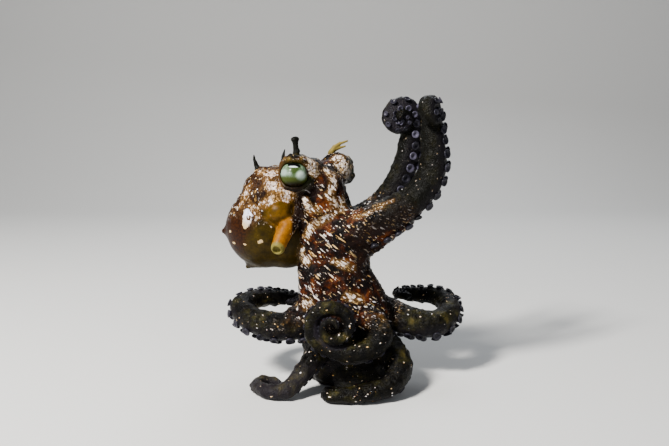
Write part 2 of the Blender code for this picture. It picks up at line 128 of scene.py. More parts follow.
ARMS = (
    Arm(  # raised, the nearer of the two
        "arm_right_1",
        ((-2, -7, 67), (8, -9, 71), (18, -8.8, 75.5), (28.5, -8, 81.3), (35, -7.5, 88), (38.7, -7, 95),
         (39.2, -6.5, 103), (38.3, -6, 112), (37.8, -6, 119.5)),
        base_radius=8.6,
        tip_radius=1.2,
        taper=0.4,
        oral=(0.35, -0.25, -1.0),
        curl=Curl(turns=0.9, radius=5.0, end_radius=1.6, toward=(-0.5, -0.85, 0.0), rise=4.0),
        flare=1.05,
        twist=((0, 26), (0.3, 20), (0.55, 2), (1, -10)),
    ),
    Arm(  # raised, the further one
        "arm_left_1",
        ((-2, 7, 68), (8, 9, 72), (16.2, 9.4, 77), (21.9, 9.7, 84), (26.4, 10, 92), (28.9, 10, 100),
         (30.2, 10, 108), (30.9, 9.5, 117.6)),
        base_radius=7.8,
        tip_radius=2.0,
        taper=0.7,
        oral=(0.35, -0.75, -0.7),
        curl=Curl(turns=1.4, radius=6.3, end_radius=1.3, toward=(-1.0, -0.1, 0.0), rise=4.8),
        flare=1.05,
    ),
    Arm(  # sweeps down and round the front, on the floor
        "arm_right_2",
        ((8, -2, 24), (18, -9, 18), (23.3, -18, 12), (19, -26.5, 6), (8, -31, 3.9), (-3, -31.5, 3)),
        base_radius=7.4,
        tip_radius=0.9,
        taper=0.8,
        oral=(0.6, -0.5, 0.4),
        curl=Curl(turns=0.9, radius=5.4, end_radius=2.0, toward=(0.0, 1.0, 0.0), rise=1.2),
        twist=((0, -150), (0.4, -140), (1, -125)),
    ),
    Arm(  # coiled up in front
        "arm_right_3",
        ((0, -6, 36), (10, -13, 32), (15, -19.5, 26.5), (10.5, -24.6, 21.4), (1, -25.4, 19.8),
         (-7, -24.5, 22)),
        base_radius=6.0,
        tip_radius=0.8,
        taper=0.75,
        oral=(0.4, -0.7, -0.6),
        curl=Curl(turns=1.7, radius=10.2, end_radius=2.2, toward=(0.45, 0.0, 0.9), rise=-4.6),
        twist=((0, 50), (0.3, 98), (0.5, 84), (0.7, 74), (0.85, 62), (1, 40)),
    ),
    Arm(  # slips out low at the front left and along the floor
        "arm_right_4",
        ((-7, -6, 22), (-13, -15.5, 14.5), (-19, -22.5, 9), (-25, -27, 4), (-33, -26, 2.9), (-38, -19, 2.5)),
        base_radius=5.2,
        tip_radius=0.8,
        taper=0.8,
        oral=(-0.5, -0.5, -0.6),
        curl=Curl(turns=1.0, radius=6.5, end_radius=2.0, toward=(1.0, 0.3, 0.0), rise=1.4),
        twist=((0, 47), (0.4, 62), (1, 80)),
    ),
    Arm(  # the loop on the right
        "arm_left_2",
        ((4, 3, 28), (18, 7, 27.6), (30, 2.2, 24.9), (41.5, 1, 24.2), (49.3, 8.5, 27), (50.3, 18, 30.8),
         (44, 26, 33), (32.5, 28.5, 33.2)),
        base_radius=8.7,
        tip_radius=1.0,
        taper=0.6,
        oral=(0.0, -0.8, -0.6),
        curl=Curl(turns=0.62, radius=5.6, end_radius=3.0, toward=(0.0, -1.0, 0.05), rise=1.0),
        twist=((0, 40), (0.35, 34), (0.5, 2), (0.65, -60), (0.8, -80), (1, -85)),
    ),
    Arm(  # curled on the floor behind
        "arm_left_3",
        ((-2, 8, 30), (-6, 18, 17), (-6, 28, 7.6), (2, 36, 4), (12, 37, 3.3)),
        base_radius=6.6,
        tip_radius=0.9,
        taper=0.8,
        oral=(0.0, 0.4, -1.0),
        curl=Curl(turns=1.0, radius=8.0, end_radius=2.2, toward=(0.2, -1.0, 0.0), rise=2.4),
        twist=((0, 12), (0.4, 46), (1, 66)),
    ),
    Arm(  # the loop on the left
        "arm_left_4",
        ((-8, 0, 28), (-18, -3.8, 26), (-27, -6.2, 25), (-36, -6, 26), (-44, -2, 28), (-48.8, 5.4, 30.4),
         (-46.4, 13.8, 32.4), (-38.5, 19.2, 33.6), (-28, 22, 32.8)),
        base_radius=8.2,
        tip_radius=1.0,
        taper=0.6,
        oral=(0.0, -0.8, -0.6),
        curl=Curl(turns=0.62, radius=5.6, end_radius=3.4, toward=(0.3, -1.0, 0.0), rise=1.0),
        twist=((0, -40), (0.35, -34), (0.5, 0), (0.65, 62), (0.8, 84), (1, 90)),
    ),
)
FLARE_LENGTH = 9  # mm along an arm in which its wider root fades
print("arms", len(ARMS))


# %% Curves
def unit(v):
    v = np.asarray(v, float)
    return v / np.linalg.norm(v)


def smooth_route(places, steps=24):
    p = np.array(places, float)
    p = np.vstack([2 * p[0] - p[1], p, 2 * p[-1] - p[-2]])
    u = np.linspace(0, 1, steps, endpoint=False)[:, None]
    runs = []
    for a, b, c, d in zip(p, p[1:], p[2:], p[3:]):
        curve = 2 * b + (c - a) * u + (2 * a - 5 * b + 4 * c - d) * u**2
        runs.append(0.5 * (curve + (3 * b - a - 3 * c + d) * u**3))
    return np.vstack([*runs, p[-2]])


def curl_points(start, heading, curl, steps=160):
    heading = unit(heading)
    toward = np.array(curl.toward, float)
    toward = unit(toward - heading * (toward @ heading))
    out_of_plane = np.cross(heading, toward)
    whole = 2 * math.pi * curl.turns
    angle = (np.arange(steps) + 0.5) / steps * whole
    radius = curl.radius + (curl.end_radius - curl.radius) * angle / whole
    step = np.outer(radius * np.cos(angle), heading) + np.outer(radius * np.sin(angle), toward)
    step += out_of_plane * curl.rise / (2 * math.pi)
    return start + np.cumsum(step, axis=0) * whole / steps


class Line:
    """A curve in even steps, with a tangent, an oral direction and a side at each step."""

    def __init__(self, points, oral, twist, spacing):
        points = np.asarray(points, float)
        length = np.concatenate([[0], np.cumsum(np.linalg.norm(np.diff(points, axis=0), axis=1))])
        self.length = length[-1]
        self.along = np.linspace(0, self.length, int(self.length / spacing) + 1)
        self.share = self.along / self.length
        self.points = np.column_stack([np.interp(self.along, length, points[:, k]) for k in range(3)])
        tangents = np.gradient(self.points, axis=0)
        self.tangents = tangents / np.linalg.norm(tangents, axis=1)[:, None]
        normal = np.array(oral, float)
        normals = []
        for tangent in self.tangents:
            normal = unit(normal - tangent * (normal @ tangent))
            normals.append(normal)
        normals = np.array(normals)
        sides = np.cross(self.tangents, normals)
        turned = np.radians(np.interp(self.share, *zip(*twist)))[:, None]
        self.orals = np.cos(turned) * normals + np.sin(turned) * sides
        self.sides = np.cross(self.tangents, self.orals)


LINE_SPACING = 0.45
arm_lines = {}
arm_radii = {}
for arm in ARMS:
    route = smooth_route(arm.route)
    coil = curl_points(route[-1], route[-1] - route[-2], arm.curl)
    line = Line(np.vstack([route, coil]), arm.oral, arm.twist, LINE_SPACING)
    radius = arm.tip_radius + (arm.base_radius - arm.tip_radius) * (1 - line.share) ** arm.taper
    radius *= 1 + (arm.flare - 1) * np.exp(-((line.along / FLARE_LENGTH) ** 2))
    arm_lines[arm.name] = line
    arm_radii[arm.name] = radius
    print(arm.name, "length", round(line.length), "mm")

# %% [markdown]
# ## The parts of the body
#
# The bases of the arms gather in a web.  With the web they make a column, through which
# they show as leaning ridges.  Head and mantle are made of lobes, and a lobe is an
# ellipsoid.  Cones pull the mantle's skin out into its corners, and flat tubes make the
# membrane under the raised arms.
#
# Every shape is a function that takes any number of points and gives their distances.

# %% Distance functions
def smooth_min(a, b, blend):
    """The lesser of two distances, rounded over where they are within blend of each other."""
    h = np.clip(0.5 + 0.5 * (b - a) / blend, 0, 1)
    return b + (a - b) * h - blend * h * (1 - h)


def smooth_max(a, b, blend):
    return -smooth_min(-a, -b, blend)


def soft_step(value, start, end):
    t = np.clip((value - start) / (end - start), 0, 1)
    return t * t * (3 - 2 * t)


def ellipsoid(p, middle, half):
    q = (p - np.array(middle)) / np.array(half)
    k0 = np.linalg.norm(q, axis=-1)
    k1 = np.linalg.norm(q / np.array(half), axis=-1)
    return k0 * (k0 - 1) / np.maximum(k1, 1e-9)


def lobes(p, parts, blend):
    total = FAR
    for middle, half in parts:
        total = smooth_min(total, ellipsoid(p, middle, half), blend)
    return total


def tube(p, stops):
    """A round tube through stops, each a place and a radius."""
    total = FAR
    for (a, radius_a), (b, radius_b) in zip(stops, stops[1:]):
        a, way = np.array(a, float), np.subtract(b, a).astype(float)
        t = np.clip((p - a) @ way / (way @ way), 0, 1)
        away = np.linalg.norm(p - a - t[..., None] * way, axis=-1)
        total = np.minimum(total, away - (radius_a + (radius_b - radius_a) * t))
    return total


# %% Body
WEB_STATIONS = np.array((  # height, middle x and y, half width along x and y
    (0.0, 1.0, 0.0, 15.0, 14.0),
    (4.0, 1.0, 0.0, 18.5, 17.0),
    (14.0, 1.0, 0.0, 19.5, 17.5),
    (28.0, 0.3, 0.0, 20.3, 17.0),
    (40.0, -1.3, 0.0, 19.7, 16.0),
    (52.0, -5.1, 0.0, 16.4, 15.0),
    (64.0, -5.5, 0.0, 15.5, 14.5),
    (74.0, -7.5, 0.0, 13.5, 13.5),
    (84.0, -10.0, 0.0, 11.0, 12.0),
    (92.0, -11.0, 0.0, 8.0, 8.0),
))
RIDGE_BEARINGS = (-34, -60, -90, -136, 9, 50, 100, 145, -170)
RIDGE_HEIGHT, RIDGE_WIDTH, RIDGE_LEAN = 0.07, 11, 26  # share of the radius, degrees, degrees

HEAD_LOBES = (
    ((-11.5, 0, 86.5), (10.4, 12.6, 11.6)),
    ((-19.6, -9.6, 95.2), (7.4, 7.2, 7.6)),
    ((-3.9, 10.4, 95.6), (6.9, 7.2, 7.4)),
    ((-14.6, -3.4, 96.0), (5.2, 5.4, 5.4)),
    ((-8.5, 4.5, 94.6), (5.0, 5.4, 5.0)),
)
COLUMN_LUMPS = (
    ((-17.2, -12.6, 82.0), (2.6, 2.6, 3.4)),
    ((-12.5, -12.6, 78.0), (6.0, 2.4, 2.4)),
)
MANTLE_LOBES = (
    ((-36, 7, 69), (18.3, 16.8, 18.3)),
    ((-32, 6, 82.5), (15.0, 14.8, 14.8)),
    ((-26, 5, 64), (12.0, 12.8, 13.3)),
)
MANTLE_CORNERS = (
    (((-49, 7, 68), 5.0), ((-55.6, 7, 67.3), 0.9)),
    (((-40, 7, 56), 6.0), ((-44.8, 7, 50.6), 0.9)),
    (((-38, 16, 58), 7.0), ((-44, 20, 54), 1.2)),
    (((-37, 16, 84), 7.0), ((-43, 20.5, 88), 1.2)),
)
COLLAR = ((-29.0, -6.0, 77.8), (6.1, 6.4, 5.6))
FAR_COLLAR = ((-27.5, 19.0, 76.5), (6.0, 5.4, 6.4))
GROOVE = (((-19.8, -13.6, 82), 2.4), ((-19.6, -12.6, 69), 2.6))  # between the funnel and the column
MEMBRANES = (
    (((0, -4, 60), 9.0), ((13, -8, 67.6), 6.4), ((25, -8.4, 76.0), 5.2)),
    (((0, 4, 60), 9.0), ((13, 9, 69.0), 6.0), ((20, 9.6, 78.0), 4.4)),
    (((6, 8, 34), 8.0), ((19, 8, 30), 5.5)),
    (((-8, 8, 34), 8.0), ((-22, 0, 29), 5.0)),
)
FUNNEL = (
    ((-21, -4, 76), 4.0), ((-25.2, -9.2, 71.6), 3.7), ((-27.6, -12.2, 67.2), 3.4),
    ((-29.0, -14.2, 63.4), 3.1),
)
FUNNEL_MOUTH = np.array((-29.6, -16.4, 62.3))
FUNNEL_AXIS = np.array((-0.26, -0.86, -0.44))
FUNNEL_BORE, FUNNEL_DEPTH = 1.7, 0.8  # radius of the hole and how deep it goes

# How widely one form rounds over into the next, in mm
HEAD_BLEND, NECK_BLEND, LUMP_BLEND, MEMBRANE_BLEND = 2.5, 5.0, 2.0, 3.0
MANTLE_BLEND, CREASE_BLEND, FUNNEL_BLEND, BORE_BLEND = 3.0, 1.2, 1.0, 0.8


def web(p):
    height = np.clip(p[..., 2], 0, WEB_STATIONS[-1, 0])
    stations = [np.interp(height, WEB_STATIONS[:, 0], WEB_STATIONS[:, k]) for k in range(1, 5)]
    middle_x, middle_y, half_x, half_y = stations
    x, y = (p[..., 0] - middle_x) / half_x, (p[..., 1] - middle_y) / half_y
    bearing = np.degrees(np.arctan2(y, x)) - RIDGE_LEAN * height / WEB_STATIONS[-1, 0]
    swell = 1 - RIDGE_HEIGHT * 0.5
    for ridge in RIDGE_BEARINGS:
        away = (bearing - ridge + 180) % 360 - 180
        swell = swell + RIDGE_HEIGHT * np.exp(-((away / RIDGE_WIDTH) ** 2))
    across = (np.hypot(x, y) - swell) * (half_x + half_y) / 2
    beyond = np.maximum(p[..., 2] - WEB_STATIONS[-1, 0], -p[..., 2])
    return smooth_max(across, beyond, 1.0)


def collars(p):
    return np.minimum(ellipsoid(p, *COLLAR), ellipsoid(p, *FAR_COLLAR))


def mantle(p):
    total = lobes(p, MANTLE_LOBES, MANTLE_BLEND)
    for corner in MANTLE_CORNERS:
        total = smooth_min(total, tube(p, corner), MANTLE_BLEND)
    return smooth_min(total, collars(p), CREASE_BLEND)


def body(p):
    """Column, head and mantle, with the crease between mantle and head kept deep."""
    column = smooth_min(web(p), lobes(p, HEAD_LOBES, HEAD_BLEND), NECK_BLEND)
    column = smooth_min(column, lobes(p, COLUMN_LUMPS, LUMP_BLEND), MEMBRANE_BLEND)
    for membrane in MEMBRANES:
        column = smooth_min(column, tube(p, membrane), MEMBRANE_BLEND)
    column = smooth_max(column, -tube(p, GROOVE), LUMP_BLEND)
    total = smooth_min(column, mantle(p), CREASE_BLEND)
    total = smooth_min(total, tube(p, FUNNEL), FUNNEL_BLEND)
    inward = FUNNEL_MOUTH - FUNNEL_AXIS * FUNNEL_DEPTH
    outward = FUNNEL_MOUTH + FUNNEL_AXIS * 2
    bore = tube(p, ((inward, FUNNEL_BORE), (outward, FUNNEL_BORE)))
    return smooth_max(total, -bore, BORE_BLEND)


# %% [markdown]
# ## Eyes, lids and brows
#
# The eyes stand on turrets.  Each lies in a round socket behind lids, and a thick brow
# overhangs its upper edge.  The left eye's brow is half as thick.  Three directions belong to
# an eye: out along its axis, up, and forward, which is towards the arms.

# %% Eye frames
@dataclass
class Eye:
    name: str
    middle: np.ndarray
    out: np.ndarray
    up: np.ndarray
    forward: np.ndarray
    brow: float  # how far the brow stands out, as a share of the fullest

    def local(self, p):
        """Places as forward, up and out, in eye radii from the middle of the eye."""
        q = (p - self.middle) / EYE_RADIUS
        return q @ self.forward, q @ self.up, q @ self.out

    def place(self, forward, up, out):
        return self.middle + EYE_RADIUS * (forward * self.forward + up * self.up + out * self.out)


def make_eye(name, middle, out, brow):
    out = unit(out)
    up = unit(np.array((0, 0, 1.0)) - out * out[2])
    forward = np.array((1.0, 0, 0)) - out * out[0]
    forward = unit(forward - up * (forward @ up))
    return Eye(name, np.array(middle), out, up, forward, brow)


EYE_RADIUS = 5.8
EYES = (
    make_eye("eye_right", (-21.8, -13.4, 94.7), (0.03, -0.99, 0.14), 1.0),
    make_eye("eye_left", (-1.6, 13.4, 95.0), (0.12, 0.97, 0.1), 0.5),
)
LID_THICKNESS = 0.5
LID_BLEND, OPENING_BLEND, SOCKET_BLEND = 1.2, 0.6, 0.25
BROW_BLEND, LOWER_LID_BLEND = 1.6, 2.2
SOCKET_ROOM = 0.08  # between the eyeball and the flesh
OPENING_MIDDLE, OPENING_HALF = (-0.1, -0.04), (1.12, 0.94)  # forward and up
BROW_STOPS = (  # these and the next are forward, up and out, in eye radii
    (-0.86, 0.84, 0.2), (-0.56, 1.08, 0.56), (0.0, 1.17, 0.7), (0.6, 1.06, 0.6), (0.94, 0.72, 0.3),
)
BROW_RADII = (0.7, 1.3, 1.6, 1.4, 0.8)
BROW_ROOT = ((-0.86, 0.78, -0.1), (-0.4, 1.06, 0.1), (0.4, 1.06, 0.1), (0.86, 0.78, -0.1))
BROW_ROOT_RADII = (1.1, 1.5, 1.5, 1.1)
LOWER_LID = (
    (-0.86, 0.72, 0.1), (-1.06, 0.2, 0.0), (-1.0, -0.4, 0.0), (-0.66, -0.98, 0.2), (0.0, -1.14, 0.24),
    (0.68, -0.96, 0.2), (0.98, -0.5, 0.0),
)
LOWER_LID_RADII = (0.5, 0.4, 0.4, 0.7, 0.8, 0.75, 0.5)


def opening(eye, p):
    """Signed distance to the cone through which the eye looks out, below zero within it."""
    forward, up, out = eye.local(p)
    reach = np.sqrt(forward**2 + up**2 + out**2)
    forward, up = forward / np.maximum(reach, 0.1), up / np.maximum(reach, 0.1)
    beside, above = forward - OPENING_MIDDLE[0], up - OPENING_MIDDLE[1]
    wide = np.hypot(beside / OPENING_HALF[0], above / OPENING_HALF[1])
    edge = (wide - 1) * OPENING_HALF[1] * reach * EYE_RADIUS
    return np.maximum(np.maximum(edge, -out * EYE_RADIUS), (reach - 1) * EYE_RADIUS - LID_THICKNESS - 3)


def add_lids(eye, p, total):
    reach = np.linalg.norm(p - eye.middle, axis=-1)
    total = smooth_min(total, reach - EYE_RADIUS - LID_THICKNESS, LID_BLEND)
    total = smooth_max(total, -opening(eye, p), OPENING_BLEND)
    folds = (
        (BROW_STOPS, BROW_RADII, eye.brow, BROW_BLEND),
        (BROW_ROOT, BROW_ROOT_RADII, eye.brow, BROW_BLEND),
        (LOWER_LID, LOWER_LID_RADII, 1.0, LOWER_LID_BLEND),
    )
    for stops, radii, size, blend in folds:
        nearer = 0.75 + 0.25 * size  # a thin fold also lies closer to the eye
        ring = [(eye.place(*(nearer * np.array(stop))), radius * size) for stop, radius in zip(stops, radii)]
        total = smooth_min(total, tube(p, ring), blend)
    return smooth_max(total, EYE_RADIUS + SOCKET_ROOM - reach, SOCKET_BLEND)


# %% [markdown]
# ## One field for all the flesh
#
# The arms are stamped slice by slice into a grid of points about a millimetre apart.
# Their sucker side is flatter.  The rest of the flesh is worked out by formula wherever it
# is asked for.

# %% The arms' grid
GRID_STEP = 0.8
WEBBING = 3.0  # how widely the arms' bases blend into the web
FLATTENING = 0.3  # share of the radius taken off the sucker side
FLOOR_BLEND = 0.3  # how softly the flesh turns where it meets the floor


def arm_slice(offset, oral, side, radius):
    across, beside = offset @ oral, offset @ side
    turn = across / np.maximum(np.hypot(across, beside), 1e-6)
    section = 1 - FLATTENING * np.maximum(turn, 0) ** 3 + 0.04 * np.maximum(-turn, 0)
    return np.linalg.norm(offset, axis=-1) - radius * section


class Grid:
    def __init__(self, low, high, step):
        self.step = step
        self.low = np.array(low, float)
        self.axes = [np.arange(a, b, step) for a, b in zip(low, high)]
        self.value = np.full([len(a) for a in self.axes], FAR)

    def block(self, low, high):
        cut = tuple(slice(*np.searchsorted(a, (l, h))) for a, l, h in zip(self.axes, low, high))
        return cut, np.stack(np.meshgrid(*(a[c] for a, c in zip(self.axes, cut)), indexing="ij"), -1)

    def sample(self, p):
        """The value at any points, read in proportion from the eight grid points round each."""
        place = (p - self.low) / self.step
        base = np.clip(place.astype(int), 0, np.array(self.value.shape) - 2)
        part = place - base
        total = 0
        for corner in np.ndindex(2, 2, 2):
            share = np.prod(np.where(corner, part, 1 - part), axis=-1)
            total = total + share * self.value[tuple((base + corner).T)]
        return total


started = time.time()
low = np.array([c / MM for c in cad_box[0]]) - 4
high = np.array([c / MM for c in cad_box[1]]) + 4
arms = Grid(low, high, GRID_STEP)
for arm in ARMS:
    line = arm_lines[arm.name]
    for place, oral, side, radius in zip(line.points, line.orals, line.sides, arm_radii[arm.name]):
        reach = radius + WEBBING + 1
        cut, p = arms.block(place - reach, place + reach)
        arms.value[cut] = np.minimum(arms.value[cut], arm_slice(p - place, oral, side, radius))
print("grid", arms.value.shape, round(time.time() - started, 1), "s")


# %% The whole skin as a field
def flesh(p, arm_distance):
    total = smooth_min(body(p), arm_distance, WEBBING)
    for eye in EYES:
        total = add_lids(eye, p, total)
    return smooth_max(total, -p[..., 2], FLOOR_BLEND)


def flesh_anywhere(p):
    return flesh(p, arms.sample(p))


BODY_LOW, BODY_HIGH = np.array((-60, -24, 0)), np.array((30, 26, 108))
whole = Grid(low, high, GRID_STEP)
whole.value = smooth_max(arms.value, np.broadcast_to(-arms.axes[2], arms.value.shape), FLOOR_BLEND)
SLAB = 8 * GRID_STEP  # the body is worked out slab by slab, to save memory
for x in np.arange(BODY_LOW[0], BODY_HIGH[0], SLAB):
    cut, p = whole.block((x, BODY_LOW[1], low[2]), (x + SLAB, BODY_HIGH[1], BODY_HIGH[2]))
    whole.value[cut] = flesh(p, arms.value[cut])
print("field", round(time.time() - started, 1), "s")

# %% [markdown]
# ## From field to mesh
#
# Each grid cell that the surface crosses gets one point, at the mean of the crossings of
# its edges, and each crossed edge gets a face through the four cells round it.  The points
# are then drawn onto the surface along its slope.  Round the eyes and the funnel's mouth the
# faces are cut in four, because small folds need them, and drawn on again.

# %% Surface
def surface_net(grid):
    value, shape = grid.value, np.array(grid.value.shape)
    inside = value < 0
    sums, counts, faces = np.zeros((value.size, 3)), np.zeros(value.size), []
    for axis in range(3):
        low, high = [slice(None)] * 3, [slice(None)] * 3
        low[axis], high[axis] = slice(0, -1), slice(1, None)
        starts = np.argwhere(inside[tuple(low)] != inside[tuple(high)])
        ends = starts.copy()
        ends[:, axis] += 1
        near, beyond = value[tuple(starts.T)], value[tuple(ends.T)]
        crossing = starts.astype(float)
        crossing[:, axis] += near / (near - beyond)
        ring = []
        for back_1, back_2 in ((1, 1), (0, 1), (0, 0), (1, 0)):
            cell = starts.copy()
            cell[:, (axis + 1) % 3] -= back_1
            cell[:, (axis + 2) % 3] -= back_2
            ring.append(np.ravel_multi_index(cell.T, shape))
            counts += np.bincount(ring[-1], minlength=value.size)
            for k in range(3):
                sums[:, k] += np.bincount(ring[-1], crossing[:, k], minlength=value.size)
        ring = np.column_stack(ring)
        faces.append(np.where((near < 0)[:, None], ring, ring[:, ::-1]))
    used, faces = np.unique(np.vstack(faces), return_inverse=True)
    return grid.low + sums[used] / counts[used][:, None] * grid.step, faces.reshape(-1, 4)


def slope(p, reach=0.15):
    columns = []
    for k in range(3):
        step = np.zeros(3)
        step[k] = reach
        columns.append((flesh_anywhere(p + step) - flesh_anywhere(p - step)) / (2 * reach))
    return np.column_stack(columns)


def draw_onto_skin(p, rounds, most):
    for _ in range(rounds):
        way = slope(p)
        move = flesh_anywhere(p)[:, None] * way / np.maximum((way**2).sum(1), 0.2)[:, None]
        length = np.linalg.norm(move, axis=1)[:, None]
        p = p - move * np.minimum(1, most / np.maximum(length, 1e-9))
    return p


FINE_ZONES = (  # middle and radius of the places that need finer faces
    ((-21.8, -13.4, 95.5), 9.0),
    ((-1.6, 13.4, 96.0), 8.5),
    ((-29.0, -14.0, 64.0), 5.5),
)


def from_arrays(name, points, faces):
    mesh = bpy.data.meshes.new(name)
    faces = faces.tolist() if hasattr(faces, "tolist") else faces
    mesh.from_pydata((np.asarray(points) * MM).tolist(), [], faces)
    mesh.shade_smooth()
    piece = bpy.data.objects.new(name, mesh)
    bpy.context.scene.collection.objects.link(piece)
    return piece


def points_of(piece):
    flat = np.empty(len(piece.data.vertices) * 3)
    piece.data.vertices.foreach_get("co", flat)
    return flat.reshape(-1, 3) / MM


points, faces = surface_net(whole)
points = draw_onto_skin(points, 1, 0.4 * GRID_STEP)
skin = from_arrays("skin", points, faces)
shape = bmesh.new()
shape.from_mesh(skin.data)
for middle, radius in FINE_ZONES:
    middle = Vector(middle) * MM
    edges = [e for e in shape.edges if all((v.co - middle).length < radius * MM for v in e.verts)]
    bmesh.ops.subdivide_edges(shape, edges=edges, cuts=1, use_grid_fill=True)
shape.to_mesh(skin.data)
shape.free()
skin.data.shade_smooth()
points = draw_onto_skin(points_of(skin), 2, 0.3)
skin.data.vertices.foreach_set("co", (points * MM).ravel())
skin.data.update()
triangles = sum(len(f.vertices) - 2 for f in skin.data.polygons)
print("skin", len(points), "points", triangles, "triangles", round(time.time() - started, 1), "s")

# %% [markdown]
# ## Relief
#
# A living skin is never smooth.  Slow noise gives the swellings of the muscle under it, and
# quicker noise gives the warts, which are lower on the sucker sides of the arms.  The
# mantle's belly and the collars stay nearly smooth, and funnel and lids quite smooth.

# %% Noise and where things lie
def soft_noise(p, size, seed):
    """Smooth noise from -1 to 1 whose lumps are about size across."""
    table = np.random.default_rng(seed).uniform(-1, 1, (32, 32, 32))
    base = np.floor(p / size).astype(int)
    part = p / size - base
    part = part * part * (3 - 2 * part)
    total = 0
    for corner in np.ndindex(2, 2, 2):
        share = np.prod(np.where(corner, part, 1 - part), axis=-1)
        total = total + share * table[tuple(((base + corner) % 32).T)]
    return total


all_points = np.vstack([arm_lines[arm.name].points for arm in ARMS])
all_orals = np.vstack([arm_lines[arm.name].orals for arm in ARMS])
all_sides = np.vstack([arm_lines[arm.name].sides for arm in ARMS])
all_along = np.concatenate([arm_lines[arm.name].along for arm in ARMS])
all_arm = np.concatenate([np.full(len(arm_lines[arm.name].along), k) for k, arm in enumerate(ARMS)])
tree = kdtree.KDTree(len(all_points))
for k, place in enumerate(all_points):
    tree.insert(place, k)
tree.balance()

nearest = np.array([tree.find(p)[1] for p in points])
offset = points - all_points[nearest]
oral_way = (offset * all_orals[nearest]).sum(1)
side_way = (offset * all_sides[nearest]).sum(1)
oral_facing = oral_way / np.maximum(np.hypot(oral_way, side_way), 0.1)

body_distance = body(points)
on_arm = soft_step(body_distance, 0.6, 6.0)
mantle_distance = mantle(points)
on_mantle = soft_step(mantle_distance, 1.4, 0.2)
eye_reach = np.min([np.linalg.norm(points - eye.middle, axis=1) for eye in EYES], axis=0) / EYE_RADIUS
near_left = np.linalg.norm(points - EYES[1].middle, axis=1) < np.linalg.norm(points - EYES[0].middle, axis=1)
eye_forward, eye_up, eye_out = np.where(near_left, EYES[1].local(points), EYES[0].local(points))
on_lids = soft_step(eye_reach + 0.12 * soft_noise(points, 2, 15), 1.6, 1.25) * soft_step(eye_out, -0.4, 0.1)
on_funnel = soft_step(tube(points, FUNNEL[1:]), 1.2, 0.3) * soft_step(points[:, 0], -22.6, -24.2)
on_collar = soft_step(collars(points) + 0.8 * soft_noise(points, 3, 5), 1.6, 0.2) * on_mantle
height = points[:, 2]
print("points on arms", int((on_arm > 0.5).sum()), "on mantle", int((on_mantle > 0.5).sum()))

# %% Relief
normals = slope(points)
normals /= np.maximum(np.linalg.norm(normals, axis=1), 1e-6)[:, None]
swelling = soft_noise(points, 5.5, 1) + 0.5 * soft_noise(points, 2.8, 2)
warts = np.maximum(soft_noise(points, 1.5, 3), 0) ** 1.5 + np.maximum(soft_noise(points, 2.1, 4), 0)
belly = on_mantle * soft_step(height + 3 * soft_noise(points, 6, 16) + 0.15 * (points[:, 0] + 38), 80, 70)
calm = 1 - np.clip(0.85 * belly + on_funnel + 0.8 * on_collar + on_lids, 0, 1)
SWELLING_HEIGHT, WART_HEIGHT = 0.34, 0.65
wart_share = 1 - 0.7 * np.maximum(oral_facing, 0) * on_arm
lift = calm * (SWELLING_HEIGHT * swelling + WART_HEIGHT * warts * wart_share)
lift = lift * soft_step(height, 0.1, 1.5) * np.where(eye_reach < 1.1, 0, 1)
relief_points = points + normals * lift[:, None]
skin.data.vertices.foreach_set("co", (relief_points * MM).ravel())
skin.data.update()
print("lift from", round(lift.min(), 2), "to", round(lift.max(), 2), "mm")

# %% [markdown]
# ## Markings
#
# The pattern is worked out from where each point lies.  Cream patches sit in a few places,
# the same ones on both sides of the body, and their edges are broken up by noise.  Spots
# and dashes are drawn by the material, in coordinates that follow the flow of the skin:
# they wind round the column as the arms do, and run along each arm.
# Painted shade is laid on with the dark marks: in recesses and creases, on the column's shaded right side and
# under the nearer raised arm.

# %% Patches
PALE_PATCHES = (  # tubes of pale skin on mantle, head and column
    (((-37, -1, 95), 1.8), ((-31, -4, 94.6), 2.4)),
    (((-34.2, -6, 91.4), 1.8), ((-31.5, -7, 89.3), 2.2), ((-28.4, -8, 87.6), 2.6), ((-25, -7, 86.2), 2.8)),
    (((-25, -7, 84.6), 2.4), ((-28, -8.4, 86.4), 2.0), ((-30.5, -8.6, 85), 1.8), ((-34.9, -8.6, 81.1), 1.4)),
    (((-42.9, -3.2, 88), 1.5), ((-44.4, -2.2, 84.9), 2.4), ((-45.7, -2.5, 81.3), 1.8)),
    (((-41.8, -6.2, 80.6), 0.9), ((-40.2, -7.3, 79.6), 0.9)),
    (((-38.3, -8.2, 78.6), 0.7), ((-38, -8.4, 76.8), 0.9)),
    (((-17, -11, 102), 2.4), ((-14.3, -11.6, 100), 3.2), ((-12.6, -11.8, 96.6), 2.8)),
    (((-16, -15, 98.2), 1.8), ((-14.5, -14, 97), 1.8)),
    (((-2.2, 4, 99), 3.6), ((0.5, 4.7, 95.5), 3.4)),
    (((-8, -6, 96.2), 0.9), ((-5, -9.4, 91.2), 1.2), ((-6.6, -12.6, 86), 1.4), ((-3.2, -10.8, 81.4), 1.3)),
    (((-1, -8.4, 84), 0.8), ((-2.2, -10, 81.4), 1.4)),
    (((4.5, -15.1, 75.9), 0.4), ((12, -14.2, 79.8), 0.3), ((19.9, -13.1, 83.4), 0.1)),
    (((-17.3, -14.7, 84.4), 0.9), ((-16.4, -15.4, 80.7), 1.6), ((-10.9, -14.8, 78.8), 0.9)),
    (
        ((-1.4, -9.6, 80), 1.1), ((-8.8, -13.9, 76.1), 1.4), ((-15.8, -11, 70.9), 1.4),
        ((-16.7, -9.7, 68), 1.0),
    ),
    (((-19, -9, 61.4), 1.1), ((-20.5, -6.5, 57.6), 1.1)),
    (((-4.5, -14.9, 57.1), 1.0), ((-0.6, -15, 55.8), 1.4), ((2.9, -12.7, 54.1), 0.9)),
    (((1.1, -15.8, 42.8), 1.2), ((6.4, -14.6, 40.3), 1.4)),
    (((-17.8, -8.7, 36.5), 1.6), ((-15, -12.5, 38), 1.6)),
    (((-19.9, -6.9, 57.8), 1.4), ((-16, -11, 56.5), 1.4)),
)
